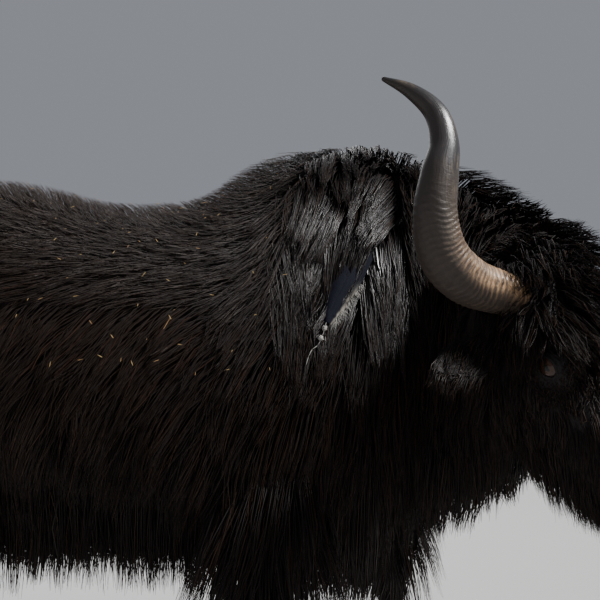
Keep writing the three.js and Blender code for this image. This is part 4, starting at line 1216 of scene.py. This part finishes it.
def press(name, under, out, gap=0.007, beside=0.05, slope=0.8, reach=0.08, fade=0.055):
    """Hair of one piece of the coat is flattened under these points, and rises again beside them."""
    made = bpy.data.objects[name]
    points = corners_of(made)
    tree = KDTree(len(under))
    for number, point in enumerate(under):
        tree.insert(point, number)
    tree.balance()
    near = (points > under.min(0) - reach).all(1) & (points < under.max(0) + reach).all(1)
    ragged = 0.008 * np.sin(points[:, 0] * 310)
    share = ramp(under[:, 2].max() - points[:, 2] - ragged, 0, fade)
    for number in np.flatnonzero(near):
        spot, _, distance = tree.find(points[number])
        height = np.dot(points[number] - spot, out)
        aside = math.sqrt(max(distance**2 - height**2, 0))
        limit = slope * max(aside - 0.004, 0) - gap
        if height > limit and aside < beside:
            points[number] -= out * (height - limit) * share[number]
    made.data.vertices.foreach_set("co", points.ravel())
    made.data.update()


for name in ("coat_mane", "coat_flank_right", "coat_neck_right"):
    press(name, laid, unit(np.array(RIBBON_OUT)))


def thread_surface(tree):
    shade = attribute(tree, "shade")
    colour = blend(tree, shade, (0.50, 0.48, 0.43), (0.22, 0.21, 0.21))
    return {"Base Color": colour, "Roughness": shade * 0.2 + 0.7}


# Pale threads stand from the strip's frayed forward edge. Two knots of the same threads close its tip, and
# the cord trails from them.
THREADS = 190
FRAYED = slice(52, 89)
thread = finish("thread", thread_surface)
frayed_edge = strip_points[FRAYED, 0]
starts = frayed_edge[chance.integers(0, len(frayed_edge), THREADS)]
starts = starts + 0.0008 * chance.standard_normal((THREADS, 3))
swing = np.array([0.5, -0.7, -0.6]) + 0.5 * chance.standard_normal((THREADS, 3))
reach = 0.012 * chance.random((THREADS, 1)) + 0.004
threads = [starts + unit(swing + [0, 0, -0.5 * share]) * reach * share for share in (0, 0.35, 0.7, 1.0)]
KNOTS = ((0.345, -0.277, 0.877), (0.338, -0.284, 0.858))
KNOT_LOOPS = 36
KNOT_RADIUS = 0.0042
loops = [[] for _ in range(4)]
for knot in KNOTS:
    turn = chance.random((KNOT_LOOPS, 3)) * 2 * np.pi
    for step, points in enumerate(loops):
        swing, tilt = turn[:, :1] + step * 1.1, turn[:, 1:2]
        ball = np.hstack([np.cos(swing) * np.cos(tilt), np.sin(swing), np.cos(swing) * np.sin(tilt)])
        points.append(np.array(knot) + shift + ball * (KNOT_RADIUS + 0.0012 * chance.random((KNOT_LOOPS, 1))))
threads = np.array(threads).transpose(1, 0, 2)
loops = np.array([np.vstack(points) for points in loops]).transpose(1, 0, 2)
cord = np.array([cord_line[step:step + 4] for step in range(0, 13, 3)])


class Laid:
    """Threads have no skin below them: they face outwards, and their chart is only a row."""

    def __init__(self, count):
        self.out = np.tile([0.1, -1.0, 0.2], (count, 1))
        self.place = np.linspace(0.02, 0.98, count)

    def chart(self):
        return np.stack([self.place, 0.5 + 0 * self.place], 1)


lines = np.vstack([threads, loops, cord])
thickness = np.repeat((0.0014, 0.0024, 0.0022), (len(threads), len(loops), len(cord)))
fringe = coat("ribbon_fringe", Laid(len(lines)), lines, thickness, thread, flatness=0.8)
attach(strip, "root")
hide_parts("mane_ribbon")

# Chaff.
# Bits of dry straw, a few millimetres long, have caught in the coat of the back and flanks. They lie loose
# near the tips of the hair, each turned its own way.
CHAFF = 220
spots = Roots(["trunk"], 400)
spots.keep((spots.high > -0.1) & (spots.body[:, 0] < 0.28))
spots.keep(chance.permutation(len(spots.place))[:CHAFF])
way = unit(chance.standard_normal((CHAFF, 3)) * (1, 1, 0.6))
way = unit(way - (way * spots.out).sum(1, keepdims=True) * spots.out * 0.9)
long = chance.uniform(0.003, 0.011, (CHAFF, 1)) * np.where(chance.random((CHAFF, 1)) > 0.93, 2.6, 1)
lift = np.interp(spots.high, (-0.1, 0.5, 1), (0.050, 0.034, 0.030))[:, None]
straws = np.array([spots.place + spots.out * lift + way * long * share for share in (-0.5, -0.1, 0.2, 0.5)])


def straw_surface(tree):
    shade = attribute(tree, "shade")
    colour = blend(tree, shade, (0.42, 0.30, 0.13), (0.30, 0.17, 0.07))
    return {"Base Color": colour, "Roughness": shade * 0.2 + 0.6}


coat("chaff", spots, straws.transpose(1, 0, 2), 0.0016, finish("straw", straw_surface))

# Floor, light and camera.
# A plain pale floor lies under the mount. A broad soft sun stands high before its right side, a faint lamp
# lights the far edge of its back, and the camera stands where the photo was taken from.
FLOOR_REACH = 60.0
floor_corners = np.array([(-1, -1, 0), (1, -1, 0), (1, 1, 0), (-1, 1, 0)]) * FLOOR_REACH
floor = piece("floor", (floor_corners, [[0, 1, 2, 3]]))


def floor_surface(tree):
    return {"Base Color": blend(tree, noise(tree, 3.0) * 0.2, (0.46, 0.455, 0.445), (0.42, 0.415, 0.405))}


floor.data.materials.append(finish("floor", floor_surface, Roughness=0.9))

sun = bpy.data.lights.new("sun", "SUN")
sun.angle = math.radians(9)
sun.energy = 6.3
sun_lamp = bpy.data.objects.new("sun", sun)
sun_lamp.rotation_euler = Vector((-3.3, 1.10, -3.7)).to_track_quat("-Z", "Y").to_euler()
bpy.context.scene.collection.objects.link(sun_lamp)

rim = bpy.data.lights.new("rim", "AREA")
rim.size = 2.0
rim.energy = 45
rim_lamp = bpy.data.objects.new("rim", rim)
rim_lamp.location = (-0.6, 3.2, 3.0)
rim_lamp.rotation_euler = (Vector((0.1, 0, 0.7)) - rim_lamp.location).to_track_quat("-Z", "Y").to_euler()
bpy.context.scene.collection.objects.link(rim_lamp)

world = bpy.data.worlds.new("sky")
world.use_nodes = True
world.node_tree.nodes["Background"].inputs["Color"].default_value = (0.86, 0.9, 1.0, 1)
world.node_tree.nodes["Background"].inputs["Strength"].default_value = 0.29
bpy.context.scene.world = world

lens = bpy.data.cameras.new("camera")
lens.lens = 50
lens.sensor_width = 36
lens.shift_y = 70 / 600
camera = bpy.data.objects.new("camera", lens)
camera.location = np.array([0.30, -1.80, 0.80]) + shift
camera.rotation_euler = (math.pi / 2, 0, 0)
bpy.context.scene.collection.objects.link(camera)
bpy.context.scene.camera = camera
